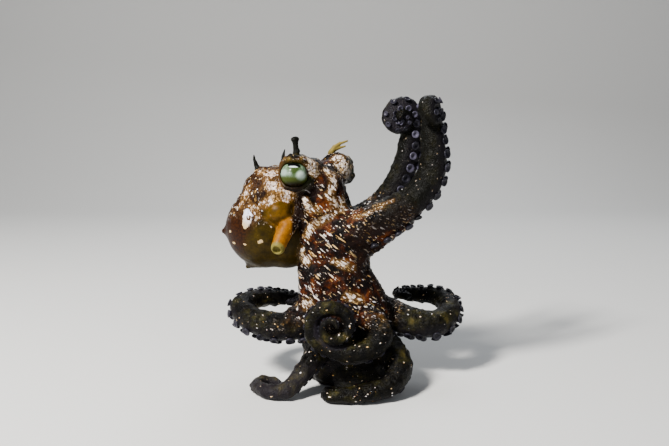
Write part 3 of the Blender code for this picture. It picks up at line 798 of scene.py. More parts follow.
WHITE_SPOTS = (  # small and sharp
    (((-43, -6.5, 77.6), 1.5), ((-42.3, -8, 75.4), 2.1), ((-43.4, -8, 72.6), 1.6)),
    (((-51.6, -2, 68.6), 0.45), ((-51, -2.4, 68.6), 0.45)),
    (((-48.2, -5.6, 69), 0.5), ((-47.6, -6, 69), 0.5)),
    (((-50.2, -2.6, 63.2), 0.4), ((-49.2, -3.2, 63.2), 0.45)),
    (((-44.8, -7, 63.5), 0.35), ((-43.6, -7.3, 63.3), 0.4)),
    (((-38.2, -9.3, 64.8), 0.35), ((-36.8, -9.5, 65.4), 0.45)),
    (((-33.4, -9.3, 72.4), 0.35), ((-32.6, -9.3, 71.6), 0.4)),
)
WHITE_SPOT_HOLE = (-42.8, -7.6, 75.6), 1.2  # a dark point in the middle of the large white spot
# Dark marks of the skin, and painted shade where shade falls, both mirrored to the other side.
DARK_MARKS_AND_SHADE = (
    # painted shade: the recess between the funnel and the column, the crease between mantle and head, and
    # beside and below the near eye
    (((-21, -7, 81), 3.0), ((-20.6, -9, 74.7), 3.2), ((-21, -6, 68), 2.6)),
    (((-23, -10, 86.6), 1.6), ((-19.7, -9, 85.6), 3.0)),
    (((-15, -16, 92.7), 2.6), ((-13.9, -12.6, 88), 2.8)),
    # dark marks on the neck and between the eyes
    (((-10.5, -9, 96), 0.9), ((-8, -11, 90.6), 1.1), ((-9, -12, 86), 1.0)),
    (((-10.4, 3, 99), 1.0), ((-5, -3, 93.6), 1.1), ((-2, -7, 87.6), 0.9)),
    # painted shade on the column's right side and under the nearer raised arm
    (((3, -16, 68), 3.0), ((8.5, -13.2, 62.1), 5.0), ((8, -10.8, 53.7), 4.6)),
    (((13, -3, 64), 4.5), ((13, -4, 52), 4.5), ((17, -4, 42), 5.0), ((20, -3, 36), 4.5)),
    (((7, -17, 70), 2.8), ((18, -16, 74.5), 4.0), ((28, -14, 80.5), 4.4), ((35, -12, 88), 3.4)),
    # dark marks on mantle and head, and the dark tips of the mantle's corners
    (((-38.5, -7.4, 84.1), 2.0), ((-35.8, -8.5, 85.5), 1.6)),
    (((-30.6, -5.2, 91.8), 0.8), ((-27.6, -5.6, 91), 1.0)),
    (((-28.8, -8.5, 83.3), 0.6), ((-28.2, -8.5, 83.6), 0.6)),
    (((1.6, 10, 91), 1.8), ((3.4, 12, 93), 1.6)),
    (((-55.8, 7, 67.3), 1.2), ((-54, 7, 67.4), 0.8)),
    (((-45, 7, 50.4), 1.2), ((-43.6, 7, 52), 0.8)),
    # painted shade in the crease under the collar
    (((-30.5, -11.6, 71), 0.7), ((-27.4, -12, 72.2), 0.7), ((-23.5, -12, 73.4), 0.8)),
)
MANTLE_MIDDLE_Y = 7
ARM_NAMES = [arm.name for arm in ARMS]
LAVENDER_ARM = ARM_NAMES.index("arm_right_4")
ARM_APART = 150  # mm between one arm's pattern and the next one's


def nearest_patch(p, patches):
    return np.min([tube(p, patch) for patch in patches], axis=0)


mirrored = points.copy()
mirrored[:, 1] = np.where(on_mantle > 0.5, 2 * MANTLE_MIDDLE_Y - points[:, 1], -points[:, 1])
ragged = 0.9 * soft_noise(points, 2.6, 11) + 0.5 * soft_noise(points, 1.4, 12)
pale = np.minimum(nearest_patch(points, PALE_PATCHES), nearest_patch(mirrored, PALE_PATCHES))
dark = np.minimum(nearest_patch(points, DARK_MARKS_AND_SHADE), nearest_patch(mirrored, DARK_MARKS_AND_SHADE))
white = np.minimum(nearest_patch(points, WHITE_SPOTS), nearest_patch(mirrored, WHITE_SPOTS))
for p in (points, mirrored):
    white = np.maximum(white, WHITE_SPOT_HOLE[1] - np.linalg.norm(p - WHITE_SPOT_HOLE[0], axis=1))
pale_share = soft_step(pale + ragged, 2.6, -1.2)
coloured_arm = on_arm * soft_step(all_along[nearest], 4, 28)
coloured_arm = np.maximum(coloured_arm, soft_step(height + 3 * soft_noise(points, 6, 13), 35, 24))
# the raised arms are painted darker above about 74 mm: painted shade on them
raised_arm_shade = coloured_arm * soft_step(height, 74, 92)
marks_and_shade_share = np.maximum(soft_step(dark + 0.8 * ragged, 1.2, -0.8), 0.85 * raised_arm_shade)

# %% Flow of the skin
COLUMN_MIDDLE = np.array((-4.0, 0.0))
TWIST = math.radians(4.2)  # turn of the flow round the column for each mm of height
TWIST_LEVEL = 60  # the height at which the flow isn't turned
turn = TWIST * (height - TWIST_LEVEL)
x, y = points[:, 0] - COLUMN_MIDDLE[0], points[:, 1] - COLUMN_MIDDLE[1]
turned_x, turned_y = x * np.cos(turn) - y * np.sin(turn), x * np.sin(turn) + y * np.cos(turn)
body_flow = np.column_stack([turned_x, turned_y, height])
arm_flow = np.column_stack([oral_way, side_way, all_along[nearest] + ARM_APART * all_arm[nearest]])


def store(piece, name, values):
    kind, field = ("FLOAT_VECTOR", "vector") if np.ndim(values) == 2 else ("FLOAT", "value")
    layer = piece.data.attributes.new(name, kind, "POINT")
    layer.data.foreach_set(field, np.ravel(values).astype(np.float32))


# rust at the mantle's rear, made darker there as painted shade on its rear edge
rearward = points[:, 0] - 0.35 * (height - 62) + 2 * soft_noise(points, 4, 14)
for name, values in {
    "coloured_arm": coloured_arm,
    "on_mantle": on_mantle,
    "belly": belly,
    "rusty": on_mantle * soft_step(rearward, -41, -48),
    "collar": on_collar,
    "funnel": on_funnel,
    "mouth": soft_step(np.linalg.norm(points - FUNNEL_MOUTH, axis=1), 4.4, 3.2),
    "lids": on_lids,
    "turret": soft_step(eye_reach, 1.6, 1.2) * soft_step(eye_out, 0.1, -0.4),
    "lid_up": eye_up,
    "lid_forward": eye_forward,
    "pale": pale_share,
    "white": soft_step(white + 0.8 * ragged, 0.5, -0.4),
    "lavender": soft_step(height, 16, 10) * (all_arm[nearest] == LAVENDER_ARM),
    "dark": marks_and_shade_share,
    "oral": np.maximum(oral_facing, 0) * on_arm,
    "body_flow": body_flow,
    "arm_flow": arm_flow,
}.items():
    store(skin, name, values)
print("pale", round(pale_share.mean(), 3), "dark", round(marks_and_shade_share.mean(), 3))


# %% [markdown]
# ## Materials
#
# A material is built by calls that take and return sockets, so that a colour reads as a
# sentence.  Sizes are in millimetres.

# %% Shader tools
class Shader:
    def __init__(self, name):
        self.material = bpy.data.materials.new(name)
        self.material.use_nodes = True
        self.tree = self.material.node_tree
        self.surface = self.tree.nodes["Principled BSDF"]

    def put(self, socket, value):
        if isinstance(value, bpy.types.NodeSocket):
            self.tree.links.new(value, socket)
        else:
            socket.default_value = value

    def make(self, kind, sockets, output=0, **settings):
        node = self.tree.nodes.new(kind)
        for key, value in settings.items():
            setattr(node, key, value)
        for key, value in sockets.items():
            self.put(node.inputs[key], value)
        return node.outputs[output]

    def attribute(self, name, output="Fac"):
        return self.make("ShaderNodeAttribute", {}, output, attribute_name=name)

    def math(self, operation, a, b=0.0, c=0.0):
        return self.make("ShaderNodeMath", {0: a, 1: b, 2: c}, operation=operation)

    def times(self, a, b):
        return self.math("MULTIPLY", a, b)

    def plus(self, a, b):
        return self.math("ADD", a, b)

    def minus(self, a, b):
        return self.math("SUBTRACT", a, b)

    def times_plus(self, a, factor, more):
        return self.math("MULTIPLY_ADD", a, factor, more)

    def greater(self, a, b):
        return self.math("MAXIMUM", a, b)

    def moved(self, vector, way, length):
        """The vector with another one added, that one made length times as long."""
        sockets = {0: way, 1: (length, length, length), 2: vector}
        return self.make("ShaderNodeVectorMath", sockets, operation="MULTIPLY_ADD")

    def cells(self, vector, scale=1.0):
        node = self.tree.nodes.new("ShaderNodeTexVoronoi")
        self.put(node.inputs["Vector"], vector)
        node.inputs["Scale"].default_value = scale
        return node

    def scaled(self, vector, sizes):
        inverse = tuple(1 / size for size in sizes)
        return self.make("ShaderNodeVectorMath", {0: vector, 1: inverse}, operation="MULTIPLY")

    def place(self):
        """The place of a point in millimetres."""
        return self.scaled(self.make("ShaderNodeTexCoord", {}, "Object"), (MM, MM, MM))

    def noise(self, vector, size, detail=3.0, rough=0.55, output="Fac"):
        sockets = {"Vector": vector, "Scale": 1 / size, "Detail": detail, "Roughness": rough}
        return self.make("ShaderNodeTexNoise", sockets, output)

    def step(self, value, start, end):
        sockets = {"Value": value, "From Min": start, "From Max": end}
        return self.make("ShaderNodeMapRange", sockets, interpolation_type="SMOOTHSTEP")

    def mix(self, share, a, b, blend="MIX"):
        sockets = {0: share, 6: a, 7: b}
        return self.make("ShaderNodeMix", sockets, 2, data_type="RGBA", blend_type=blend)

    def ramp(self, value, stops):
        node = self.tree.nodes.new("ShaderNodeValToRGB")
        self.put(node.inputs[0], value)
        elements = node.color_ramp.elements
        for _ in stops[2:]:
            elements.new(0.5)
        for element, (position, colour) in zip(elements, stops):
            element.position = position
            element.color = (*colour, 1)
        return node.outputs[0]

    def spots(self, vector, sizes, density, smallest, spread, ragged):
        """Rounded spots in stretched cells: how much of a spot a point is in, and the cell's own chance."""
        node = self.cells(self.scaled(vector, sizes))
        chance = self.tree.nodes.new("ShaderNodeSeparateColor")
        self.put(chance.inputs[0], node.outputs["Color"])
        limit = self.math("ADD", ragged, self.math("MULTIPLY_ADD", chance.outputs[0], spread, smallest))
        inside = self.step(self.math("SUBTRACT", limit, node.outputs["Distance"]), -0.03, 0.07)
        present = self.math("LESS_THAN", chance.outputs[1], density)
        return self.math("MULTIPLY", inside, present), chance.outputs[2]

    def finish(self, colour, roughness, bump_height=None, bump_distance=0.2, strength=1.0):
        self.put(self.surface.inputs["Base Color"], colour)
        self.put(self.surface.inputs["Roughness"], roughness)
        if bump_height is not None:
            sockets = {"Height": bump_height, "Distance": bump_distance * MM, "Strength": strength}
            self.put(self.surface.inputs["Normal"], self.make("ShaderNodeBump", sockets))
        return self.material


# %% Tones of the skin
# A row of a ramp is how far along the noise a colour stands, and the colour.
MAROON = (
    (0.42, (0.002, 0.001, 0.001)), (0.52, (0.007, 0.002, 0.001)), (0.61, (0.030, 0.006, 0.001)),
    (0.75, (0.11, 0.026, 0.002)),
)
GOLD_BROWN = (
    (0.40, (0.005, 0.002, 0.001)), (0.48, (0.022, 0.008, 0.002)), (0.57, (0.085, 0.038, 0.006)),
    (0.68, (0.24, 0.13, 0.04)), (0.80, (0.46, 0.31, 0.18)),
)
# rust tones, darkened by painted shade at the mantle's rear edge
RUST_AND_REAR_SHADE = ((0.35, (0.005, 0.002, 0.001)), (0.65, (0.034, 0.011, 0.002)))
OLIVE_BLACK = (
    (0.40, (0.0008, 0.0007, 0.0007)), (0.54, (0.0035, 0.0028, 0.0012)), (0.64, (0.012, 0.011, 0.003)),
    (0.78, (0.044, 0.034, 0.008)),
)
BELLY_AMBER = ((0.34, (0.014, 0.0085, 0.0005)), (0.5, (0.024, 0.0145, 0.0008)), (0.66, (0.038, 0.023, 0.001)))
BELLY_RUST_AND_REAR_SHADE = ((0.35, (0.004, 0.0015, 0.001)), (0.65, (0.030, 0.009, 0.002)))
COLLAR_AMBER = ((0.36, (0.034, 0.018, 0.0006)), (0.5, (0.058, 0.028, 0.0008)), (0.64, (0.10, 0.044, 0.001)))
FUNNEL_ORANGE = ((0.35, (0.12, 0.042, 0.0004)), (0.6, (0.23, 0.085, 0.0006)))
LID_TONES = (  # from the lower lid to the brow
    (0.02, (0.003, 0.001, 0.0005)), (0.12, (0.006, 0.003, 0.0005)), (0.3, (0.009, 0.006, 0.001)),
    (0.6, (0.010, 0.006, 0.002)), (0.88, (0.040, 0.025, 0.003)), (0.98, (0.24, 0.15, 0.03)),
)
DASH_TONES = (
    (0.0, (0.42, 0.22, 0.05)), (0.3, (0.72, 0.50, 0.24)), (0.65, (0.82, 0.70, 0.60)),
    (1.0, (0.86, 0.84, 0.90)),
)
CREAM = (
    (0.36, (0.50, 0.30, 0.10)), (0.45, (0.76, 0.60, 0.40)), (0.53, (0.82, 0.74, 0.74)),
    (0.62, (0.74, 0.58, 0.38)),
)
TAN = (
    (0.36, (0.32, 0.17, 0.05)), (0.46, (0.58, 0.38, 0.22)), (0.54, (0.80, 0.68, 0.68)),
    (0.63, (0.54, 0.36, 0.20)),
)
LAVENDER, SUCKER_SIDE = (0.030, 0.025, 0.032, 1), (0.012, 0.010, 0.014, 1)
DARKEST_BODY, DARKEST_ARM = (0.006, 0.002, 0.001, 1), (0.0015, 0.0015, 0.0008, 1)
MOUTH_TONE, TURRET_TONE = (0.14, 0.115, 0.025, 1), (0.22, 0.23, 0.17, 1)
LID_FRONT, LID_REAR = (0.010, 0.012, 0.003, 1), (0.040, 0.020, 0.005, 1)
GOLD_DEEP, GOLD_LIGHT, CREAM_EDGE = (0.085, 0.034, 0.003, 1), (0.16, 0.080, 0.018, 1), (0.34, 0.18, 0.050, 1)
WHITE, BELLY_SPOT = (0.74, 0.74, 0.92, 1), (0.50, 0.36, 0.18, 1)
DULL_SKIN = 0.07  # specular level of skin and horns

# Cells that hold one mark each: two widths across the flow and one along it, in mm
DASH_CELL, BIT_CELL = (1.5, 1.5, 3.5), (0.8, 0.8, 1.6)
FLECK_AND_GLINT_CELL, CROWD_CELL = (1.1, 1.1, 1.5), (0.95, 0.95, 1.7)


# %% Skin material
def skin_material():
    s = Shader("octopus_skin")
    place = s.place()
    swirl = s.noise(place, 2.2, 2.0, output="Color")
    wobble = s.make("ShaderNodeVectorMath", {0: swirl, 1: (0.5, 0.5, 0.5)}, operation="SUBTRACT")
    wobbled = s.moved(place, wobble, 2.0)
    large = s.noise(place, 8.0, 2.0)
    patchy = s.noise(wobbled, 3.4, 5.0, 0.62)
    fine = s.noise(wobbled, 0.9, 4.0, 0.65)
    both = s.times_plus(fine, 0.35, s.times(patchy, 0.75))
    both = s.plus(both, s.times_plus(large, 0.9, -0.5))
    coloured_arm = s.attribute("coloured_arm")
    on_mantle = s.attribute("on_mantle")
    on_belly = s.attribute("belly")

    # ground colours: maroon to rust, gold brown on the mantle's top with a rust darkened by painted shade at
    # its rear, olive black on the arms
    mantle_top = s.mix(s.times(s.attribute("rusty"), 0.8), s.ramp(both, GOLD_BROWN), s.ramp(fine, RUST_AND_REAR_SHADE))
    colour = s.mix(on_mantle, s.ramp(both, MAROON), mantle_top)
    colour = s.mix(coloured_arm, colour, s.ramp(both, OLIVE_BLACK))
    colour = s.mix(s.times(s.attribute("lavender"), 0.3), colour, LAVENDER)
    # dark marks and painted shade, the raised arms' painted shade among them, go nearly black
    darkest = s.mix(coloured_arm, DARKEST_BODY, DARKEST_ARM)
    colour = s.mix(s.times(s.attribute("dark"), 0.92), colour, darkest)

    # the belly of the mantle, a smooth amber that turns to a dark rust at the back, rust with painted shade
    belly = s.mix(s.attribute("rusty"), s.ramp(patchy, BELLY_AMBER), s.ramp(fine, BELLY_RUST_AND_REAR_SHADE))
    colour = s.mix(on_belly, colour, belly)
    colour = s.mix(s.attribute("collar"), colour, s.ramp(patchy, COLLAR_AMBER))
    funnel = s.mix(s.attribute("mouth"), s.ramp(patchy, FUNNEL_ORANGE), MOUTH_TONE)
    colour = s.mix(s.attribute("funnel"), colour, funnel)

    # lids: dark below, gold brown on the brow, dark olive towards the arms and brown at the rear
    lid_tone = s.times_plus(fine, 0.6, s.minus(s.attribute("lid_up"), 0.3))
    lid = s.ramp(s.times_plus(lid_tone, 0.4, 0.5), LID_TONES)
    forward = s.attribute("lid_forward")
    lid = s.mix(s.step(s.times_plus(fine, 0.6, forward), 0.7, 1.3), lid, LID_FRONT)
    lid = s.mix(s.step(s.times_plus(fine, 0.5, forward), -0.35, -0.75), lid, LID_REAR)
    colour = s.mix(s.times(s.attribute("lids"), 0.95), colour, lid)

    # dashes along the flow of the column and of each arm, in clusters
    clusters = s.step(s.noise(place, 6.0, 2.0), 0.44, 0.62)
    flow = s.moved(s.attribute("body_flow", "Vector"), wobble, 1.4)
    flow = s.mix(on_mantle, flow, wobbled)
    arm_flow = s.attribute("arm_flow", "Vector")
    ragged = s.times_plus(fine, 0.5, -0.25)
    dash, tint = s.spots(flow, DASH_CELL, s.times_plus(clusters, 0.6, 0.30), 0.12, 0.32, ragged)
    bit, _ = s.spots(flow, BIT_CELL, s.times_plus(clusters, 0.45, 0.12), 0.14, 0.30, ragged)
    # flecks along the arms: pale marks that also stand for glints on the wet skin, partly painted highlights
    fleck_and_glint, _ = s.spots(arm_flow, FLECK_AND_GLINT_CELL, s.times_plus(clusters, 0.40, 0.08), 0.08, 0.22, ragged)
    body_spot = s.times(s.greater(dash, bit), s.minus(1.0, coloured_arm))
    fleck_and_glint = s.times(fleck_and_glint, s.greater(coloured_arm, 0.25))
    smooth_places = s.greater(s.greater(s.attribute("collar"), s.attribute("funnel")), s.attribute("lids"))
    rough_places = s.times(s.minus(1.0, on_belly), s.minus(1.0, smooth_places))
    rough_places = s.times(rough_places, s.times_plus(s.attribute("dark"), -0.8, 1.0))
    spot = s.times(s.greater(body_spot, fleck_and_glint), rough_places)
    colour = s.mix(s.times(spot, 0.95), colour, s.ramp(tint, DASH_TONES))

    # pale patches are crowded spots that run together, on a golden ground
    golden = s.times(s.step(s.times_plus(patchy, 0.6, s.attribute("pale")), 0.4, 0.9), 0.45)
    colour = s.mix(golden, colour, s.mix(large, GOLD_DEEP, GOLD_LIGHT))
    cell = s.cells(s.scaled(flow, CROWD_CELL))
    crowd = s.times_plus(cell.outputs["Distance"], -1.15, s.attribute("pale"))
    crowd = s.plus(crowd, s.times_plus(fine, 1.4, -0.7))
    crowd = s.plus(crowd, s.minus(patchy, 0.5))
    pale = s.step(crowd, 0.04, 0.50)
    pale_colour = s.mix(on_mantle, s.ramp(patchy, CREAM), s.ramp(patchy, TAN))
    pale_colour = s.mix(s.step(crowd, 0.08, 0.50), CREAM_EDGE, pale_colour)
    colour = s.mix(pale, colour, pale_colour)
    colour = s.mix(s.times(s.attribute("turret"), 0.25), colour, TURRET_TONE)
    white = s.step(s.times_plus(fine, 0.7, s.attribute("white")), 0.75, 1.05)
    colour = s.mix(white, colour, s.mix(on_belly, WHITE, BELLY_SPOT))
    colour = s.mix(s.times(s.attribute("oral"), 0.7), colour, SUCKER_SIDE)

    # bumps: marks stand up a little, and the calm places are nearly flat
    grain = s.cells(wobbled, 1.5)
    relief = s.times_plus(spot, 1.2, s.times(grain.outputs["Distance"], -0.7))
    relief = s.plus(fine, s.times_plus(pale, 0.8, relief))
    calm = s.greater(on_belly, smooth_places)
    relief = s.times(relief, s.times_plus(calm, -0.8, 1.0))
    roughness = s.times_plus(fine, 0.35, 0.22)
    s.surface.inputs["Specular IOR Level"].default_value = DULL_SKIN
    s.surface.inputs["Subsurface Weight"].default_value = 0.04
    s.surface.inputs["Subsurface Radius"].default_value = (1.0, 0.4, 0.2)
    s.surface.inputs["Subsurface Scale"].default_value = 1.0 * MM
    return s.finish(colour, roughness, relief, 0.4, 0.9)


skin.data.materials.append(skin_material())
flesh_nodes = [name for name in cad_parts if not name.startswith(("eye", "horn"))]
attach(skin, "root")
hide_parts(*flesh_nodes)
print("skin stands for", len(flesh_nodes), "solids")

# %% [markdown]
# ## Eyes
#
# The eyeball is silver green, with a black slit of a pupil high up under the brow and a
# pale crescent under it, a painted glint.  A round, pale swelling of the iris stands at the
# front, painted paler at its top as a painted highlight, and a smaller one stands behind it.
# The lower half turns olive and then brown where it goes under the lower lid, and brown also at the front
# edge: brown with painted shade of the socket.

# %% Eyeballs
EYE_ROWS, EYE_SIDES = 96, 128
PUPIL = (0.0, 0.68)  # forward and up, in eye radii
PUPIL_HALF = (0.48, 0.10)
IRIS_SWELLINGS = (((0.49, -0.12), 0.46, 1.0), ((-0.32, 0.0), 0.26, 0.4))  # place, radius and strength
SWELLING_RISE = 0.1
SILVER = (-0.76, 0.1), 0.40
EYE_TONES = ((0.35, (0.04, 0.07, 0.035)), (0.5, (0.09, 0.14, 0.08)), (0.66, (0.18, 0.25, 0.17)))
EYE_LAYERS = (  # attribute, strength and colour, each painted over the ones before
    ("green", 1.0, (0.026, 0.046, 0.010, 1)),
    ("silver", 0.85, (0.25, 0.33, 0.28, 1)),
    ("olive", 1.0, (0.030, 0.042, 0.005, 1)),
    ("swelling", 1.0, (0.38, 0.49, 0.42, 1)),
    ("brown", 1.0, (0.006, 0.004, 0.001, 1)),
    ("crescent", 1.0, (0.66, 0.74, 0.76, 1)),
    ("pupil", 1.0, (0.002, 0.002, 0.003, 1)),
)


def circle(radius, height, sides):
    turns = np.arange(sides) / sides * 2 * math.pi
    return np.stack([radius * np.cos(turns), radius * np.sin(turns), np.full(sides, height)], 1)


def ball(rows, sides):
    rings = [circle(math.sin(a), math.cos(a), sides) for a in np.linspace(0, math.pi, rows + 1)[1:-1]]
    places = np.vstack([(0, 0, 1), *rings, (0, 0, -1)])
    faces = []
    for k in range(sides):
        after = (k + 1) % sides
        faces.append((0, 1 + k, 1 + after))
        for row in range(rows - 2):
            a, b = 1 + row * sides, 1 + (row + 1) * sides
            faces.append((a + k, b + k, b + after, a + after))
        last = 1 + (rows - 2) * sides
        faces.append((len(places) - 1, last + after, last + k))
    return places, faces


def eye_material():
    s = Shader("octopus_eye")
    streaks = s.noise(s.attribute("eye_place", "Vector"), 0.12, 4.0, 0.6)
    colour = s.ramp(streaks, EYE_TONES)
    for name, strength, layer in EYE_LAYERS:
        colour = s.mix(s.times(s.attribute(name), strength), colour, layer)
    s.surface.inputs["Coat Weight"].default_value = 0.05
    s.surface.inputs["Coat Roughness"].default_value = 0.04
    s.surface.inputs["Specular IOR Level"].default_value = 0.06
    return s.finish(colour, 0.3)


EYE_MATERIAL = eye_material()
for eye in EYES:
    local, faces = ball(EYE_ROWS, EYE_SIDES)
    forward, up, out = local.T
    front = np.where(out > 0, 1, 0)
    swelling = np.zeros(len(local))
    for (f, u), radius, strength in IRIS_SWELLINGS:
        near = soft_step(np.hypot(forward - f, up - u), radius, 0.25 * radius)
        # shade: each swelling is painted paler towards its top and darker below, painted light and shade
        shade = 0.45 + 0.55 * soft_step(up - u, -0.9 * radius, 0.3 * radius)
        swelling = np.maximum(swelling, strength * shade * near * front)
    (f, u), radius = SILVER
    silver = soft_step(np.hypot(forward - f, up - u), radius, 0.3 * radius) * front
    along = np.maximum(np.abs(forward - PUPIL[0]) - PUPIL_HALF[0] + PUPIL_HALF[1], 0)
    bend = PUPIL[1] - 0.7 * np.maximum(forward, 0) ** 2
    pupil = soft_step(np.hypot(along, up - bend), PUPIL_HALF[1] * 1.15, PUPIL_HALF[1] * 0.85) * front
    # a pale crescent just under the slit: a painted glint
    crescent = soft_step(np.hypot((forward + 0.06) / 0.34, (up - bend + 0.15) / 0.07), 1.1, 0.7) * front
    green = soft_step(np.abs(forward - 0.02), 0.6, 0.2) * soft_step(up, -0.3, 0.1) * front
    olive = soft_step(up - 0.1 * np.abs(forward), -0.05, -0.38) * front
    # brown towards the bottom and the front edge: the ball's brown and painted shade of the socket
    brown = np.maximum(soft_step(up, -0.42, -0.76), soft_step(forward + 0.2 * up, 0.8, 1.0)) * front
    reach = 1 + SWELLING_RISE * swelling - 0.02 * pupil
    reach = reach * EYE_RADIUS
    places = eye.middle + np.outer(forward * reach, eye.forward) + np.outer(up * reach, eye.up)
    places = places + np.outer(out * reach, eye.out)
    if np.linalg.det([eye.forward, eye.up, eye.out]) < 0:
        faces = [face[::-1] for face in faces]
    piece = from_arrays(eye.name + "_ball", places, faces)
    for name, values in {
        "pupil": pupil, "crescent": crescent, "swelling": swelling, "silver": silver,
        "green": green, "olive": olive, "brown": brown, "eye_place": local,
    }.items():
        store(piece, name, values)
    piece.data.materials.append(EYE_MATERIAL)
    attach(piece, "root")
    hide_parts(eye.name)
print("eyes", len(EYES), "radius", EYE_RADIUS, "mm")

# %% [markdown]
# ## Horns and tall papillae
#
# A horn is a papilla of skin raised over each eye.  The right one ends in a knob, and the
# left one forks.  Thinner ones stand on the mantle.  They too are drawn from a field of
# distances, each on a small fine grid of its own.

# %% Horns
HORN_RIGHT = (
    ((-20.8, -12, 99.5), 2.4), ((-20.9, -12, 102), 1.8), ((-21.1, -12.1, 105), 1.3),
    ((-21.3, -12, 107.4), 1.2), ((-21.5, -12.1, 109.5), 1.45),
)
HORN_RIGHT_KNOBS = (((-22.3, -12.4, 109.6), 0.8), ((-20.6, -11.8, 109.8), 0.8), ((-20.1, -12.6, 104.8), 0.7))
HORN_LEFT = (
    ((-6.0, 12, 100.5), 2.2), ((-6.2, 12.2, 103.0), 1.5), ((-4.8, 12.5, 105.4), 1.1),
    ((-2.2, 12.7, 107.1), 0.75), ((1.1, 12.8, 108.3), 0.4),
)
HORN_LEFT_TWIG = (((-5.0, 12.5, 104.2), 1.0), ((-2.4, 12.6, 105.2), 0.65), ((0.2, 12.7, 105.9), 0.4))
TALL_PAPILLAE = (  # foot, tip, and radius of the foot
    ((-39.0, 7, 94.5), (-41.2, 7, 102.0), 1.7),
    ((-28.6, 12, 96.5), (-27.6, 14, 104.4), 1.5),
    ((-25.0, 8, 98.0), (-24.6, 8.5, 102.6), 1.0),
    ((-45, 22, 66), (-48, 26, 66.5), 1.2),
    ((-38, 23, 84), (-39.5, 27.5, 87), 1.3),
)


def fine_net(distance, low, high):
    grid = Grid(np.array(low, float), np.array(high, float), HORN_STEP)
    for x in grid.axes[0]:
        cut, p = grid.block((x, *low[1:]), (x + HORN_STEP / 2, *high[1:]))
        grid.value[cut] = distance(p)
    return surface_net(grid)


def horn_material(name, foot_colour, tip_colour, foot, tip):
    """Turns from one colour to the other between the heights foot and tip."""
    s = Shader(name)
    height = s.make("ShaderNodeSeparateXYZ", {0: s.place()}, 2)
    fine = s.noise(s.place(), 0.9, 4.0, 0.65)
    share = s.plus(s.step(height, foot, tip), s.times_plus(fine, 0.8, -0.4))
    colour = s.mix(s.step(share, 0.1, 0.6), foot_colour, tip_colour)
    s.surface.inputs["Specular IOR Level"].default_value = DULL_SKIN
    return s.finish(colour, 0.45, fine, 0.3, 0.8)


def grown(p, stops, knobs=()):
    """A tube with a lumpy skin."""
    total = tube(p, stops)
    for place, radius in knobs:
        total = smooth_min(total, np.linalg.norm(p - np.array(place), axis=-1) - radius, 0.8)
    flat = p.reshape(-1, 3)
    return total + 0.14 * soft_noise(flat, 1.3, 21).reshape(total.shape)


def right_horn(p):
    return grown(p, HORN_RIGHT, HORN_RIGHT_KNOBS)


def left_horn(p):
    return smooth_min(grown(p, HORN_LEFT), tube(p, HORN_LEFT_TWIG), 0.6)


HORN_STEP = 0.22
HORN_FOOT, HORN_TIP = 100.5, 107
BLACKISH, OLIVE, YELLOWISH = (0.0025, 0.0025, 0.0015, 1), (0.050, 0.036, 0.008, 1), (0.17, 0.125, 0.028, 1)
PAPILLA_BROWN = (0.030, 0.014, 0.005, 1)
HORNS = (  # name, distance, two corners of the grid, and the tip's colour
    ("horn_right", right_horn, (-25, -16, 97), (-17, -8, 114), BLACKISH),
    ("horn_left", left_horn, (-9, 8, 98), (5, 16, 112), YELLOWISH),
)
for name, distance, low_corner, high_corner, tip_colour in HORNS:
    places, faces = fine_net(distance, low_corner, high_corner)
    piece = from_arrays(name + "_papilla", places, faces)
    piece.data.materials.append(horn_material(name + "_skin", OLIVE, tip_colour, HORN_FOOT, HORN_TIP))
    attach(piece, "root")
    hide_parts(name)
    print(name, len(faces), "faces")

# %% Tall papillae of the mantle
# Share of the way from foot to tip, share of the foot's radius, and share of the bend
PAPILLA_SHAPE = ((-0.15, 1.5, 0), (0.1, 1, 0), (0.4, 0.62, 1), (0.75, 0.42, 1))
PAPILLA_TIP = 0.28
PAPILLA_ROOM = 4  # mm of grid round it
for number, (foot, tip, radius) in enumerate(TALL_PAPILLAE, 1):
    foot, tip = np.array(foot, float), np.array(tip, float)
    way = tip - foot
    bend = np.cross(way, (0, 1, 0)) * 0.04
    stops = [(foot + way * share + bend * bent, radius * width) for share, width, bent in PAPILLA_SHAPE]
    stops.append((tip, PAPILLA_TIP))
    low_corner, high_corner = np.minimum(foot, tip) - PAPILLA_ROOM, np.maximum(foot, tip) + PAPILLA_ROOM
    places, faces = fine_net(lambda p: grown(p, stops), low_corner, high_corner)
    piece = from_arrays(f"tall_papilla_{number}", places, faces)
    paint = horn_material(piece.name + "_skin", PAPILLA_BROWN, BLACKISH, foot[2] - 2, foot[2] + 2)
    piece.data.materials.append(paint)
    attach(piece, "root")
print("tall papillae", len(TALL_PAPILLAE))

# %% [markdown]
# ## Suckers
#
# Two rows of suckers run down the inner side of each arm, side by side but staggered, and
# get smaller towards the tip.  One sucker is turned as a cup with a rim; Geometry Nodes
# put a copy of it at each place.

# %% Sucker cup
CUP_SIDES = 12
CUP_PROFILE = (  # radius and height, from under the skin over the rim into the cup
    (0.62, -0.6), (0.7, 0.1), (0.98, 0.42), (0.97, 0.62), (0.74, 0.66), (0.42, 0.36), (0.2, 0.28),
)
SUCKER_BEARING = 33  # degrees either side of the arm's inner line
SUCKER_SHARE = 0.36  # of the arm's radius
SUCKER_PITCH = 2.6  # sucker radii between one and the next in a row
SUCKER_SMALLEST, SUCKER_LARGEST = 0.28, 2.0
SUCKER_TONES = ((0.0, (0.005, 0.005, 0.007)), (0.4, (0.026, 0.024, 0.036)), (1.0, (0.13, 0.12, 0.18)))


def cup():
    rings = [circle(radius, height, CUP_SIDES) for radius, height in CUP_PROFILE]
    faces = []
    for row in range(len(rings) - 1):
        for k in range(CUP_SIDES):
            after = (k + 1) % CUP_SIDES
            a, b = row * CUP_SIDES, (row + 1) * CUP_SIDES
            faces.append((a + k, a + after, b + after, b + k))
    top = (len(rings) - 1) * CUP_SIDES
    faces.append(tuple(top + k for k in range(CUP_SIDES)))
    faces.append(tuple(CUP_SIDES - 1 - k for k in range(CUP_SIDES)))
    return from_arrays("cup", np.vstack(rings), faces)


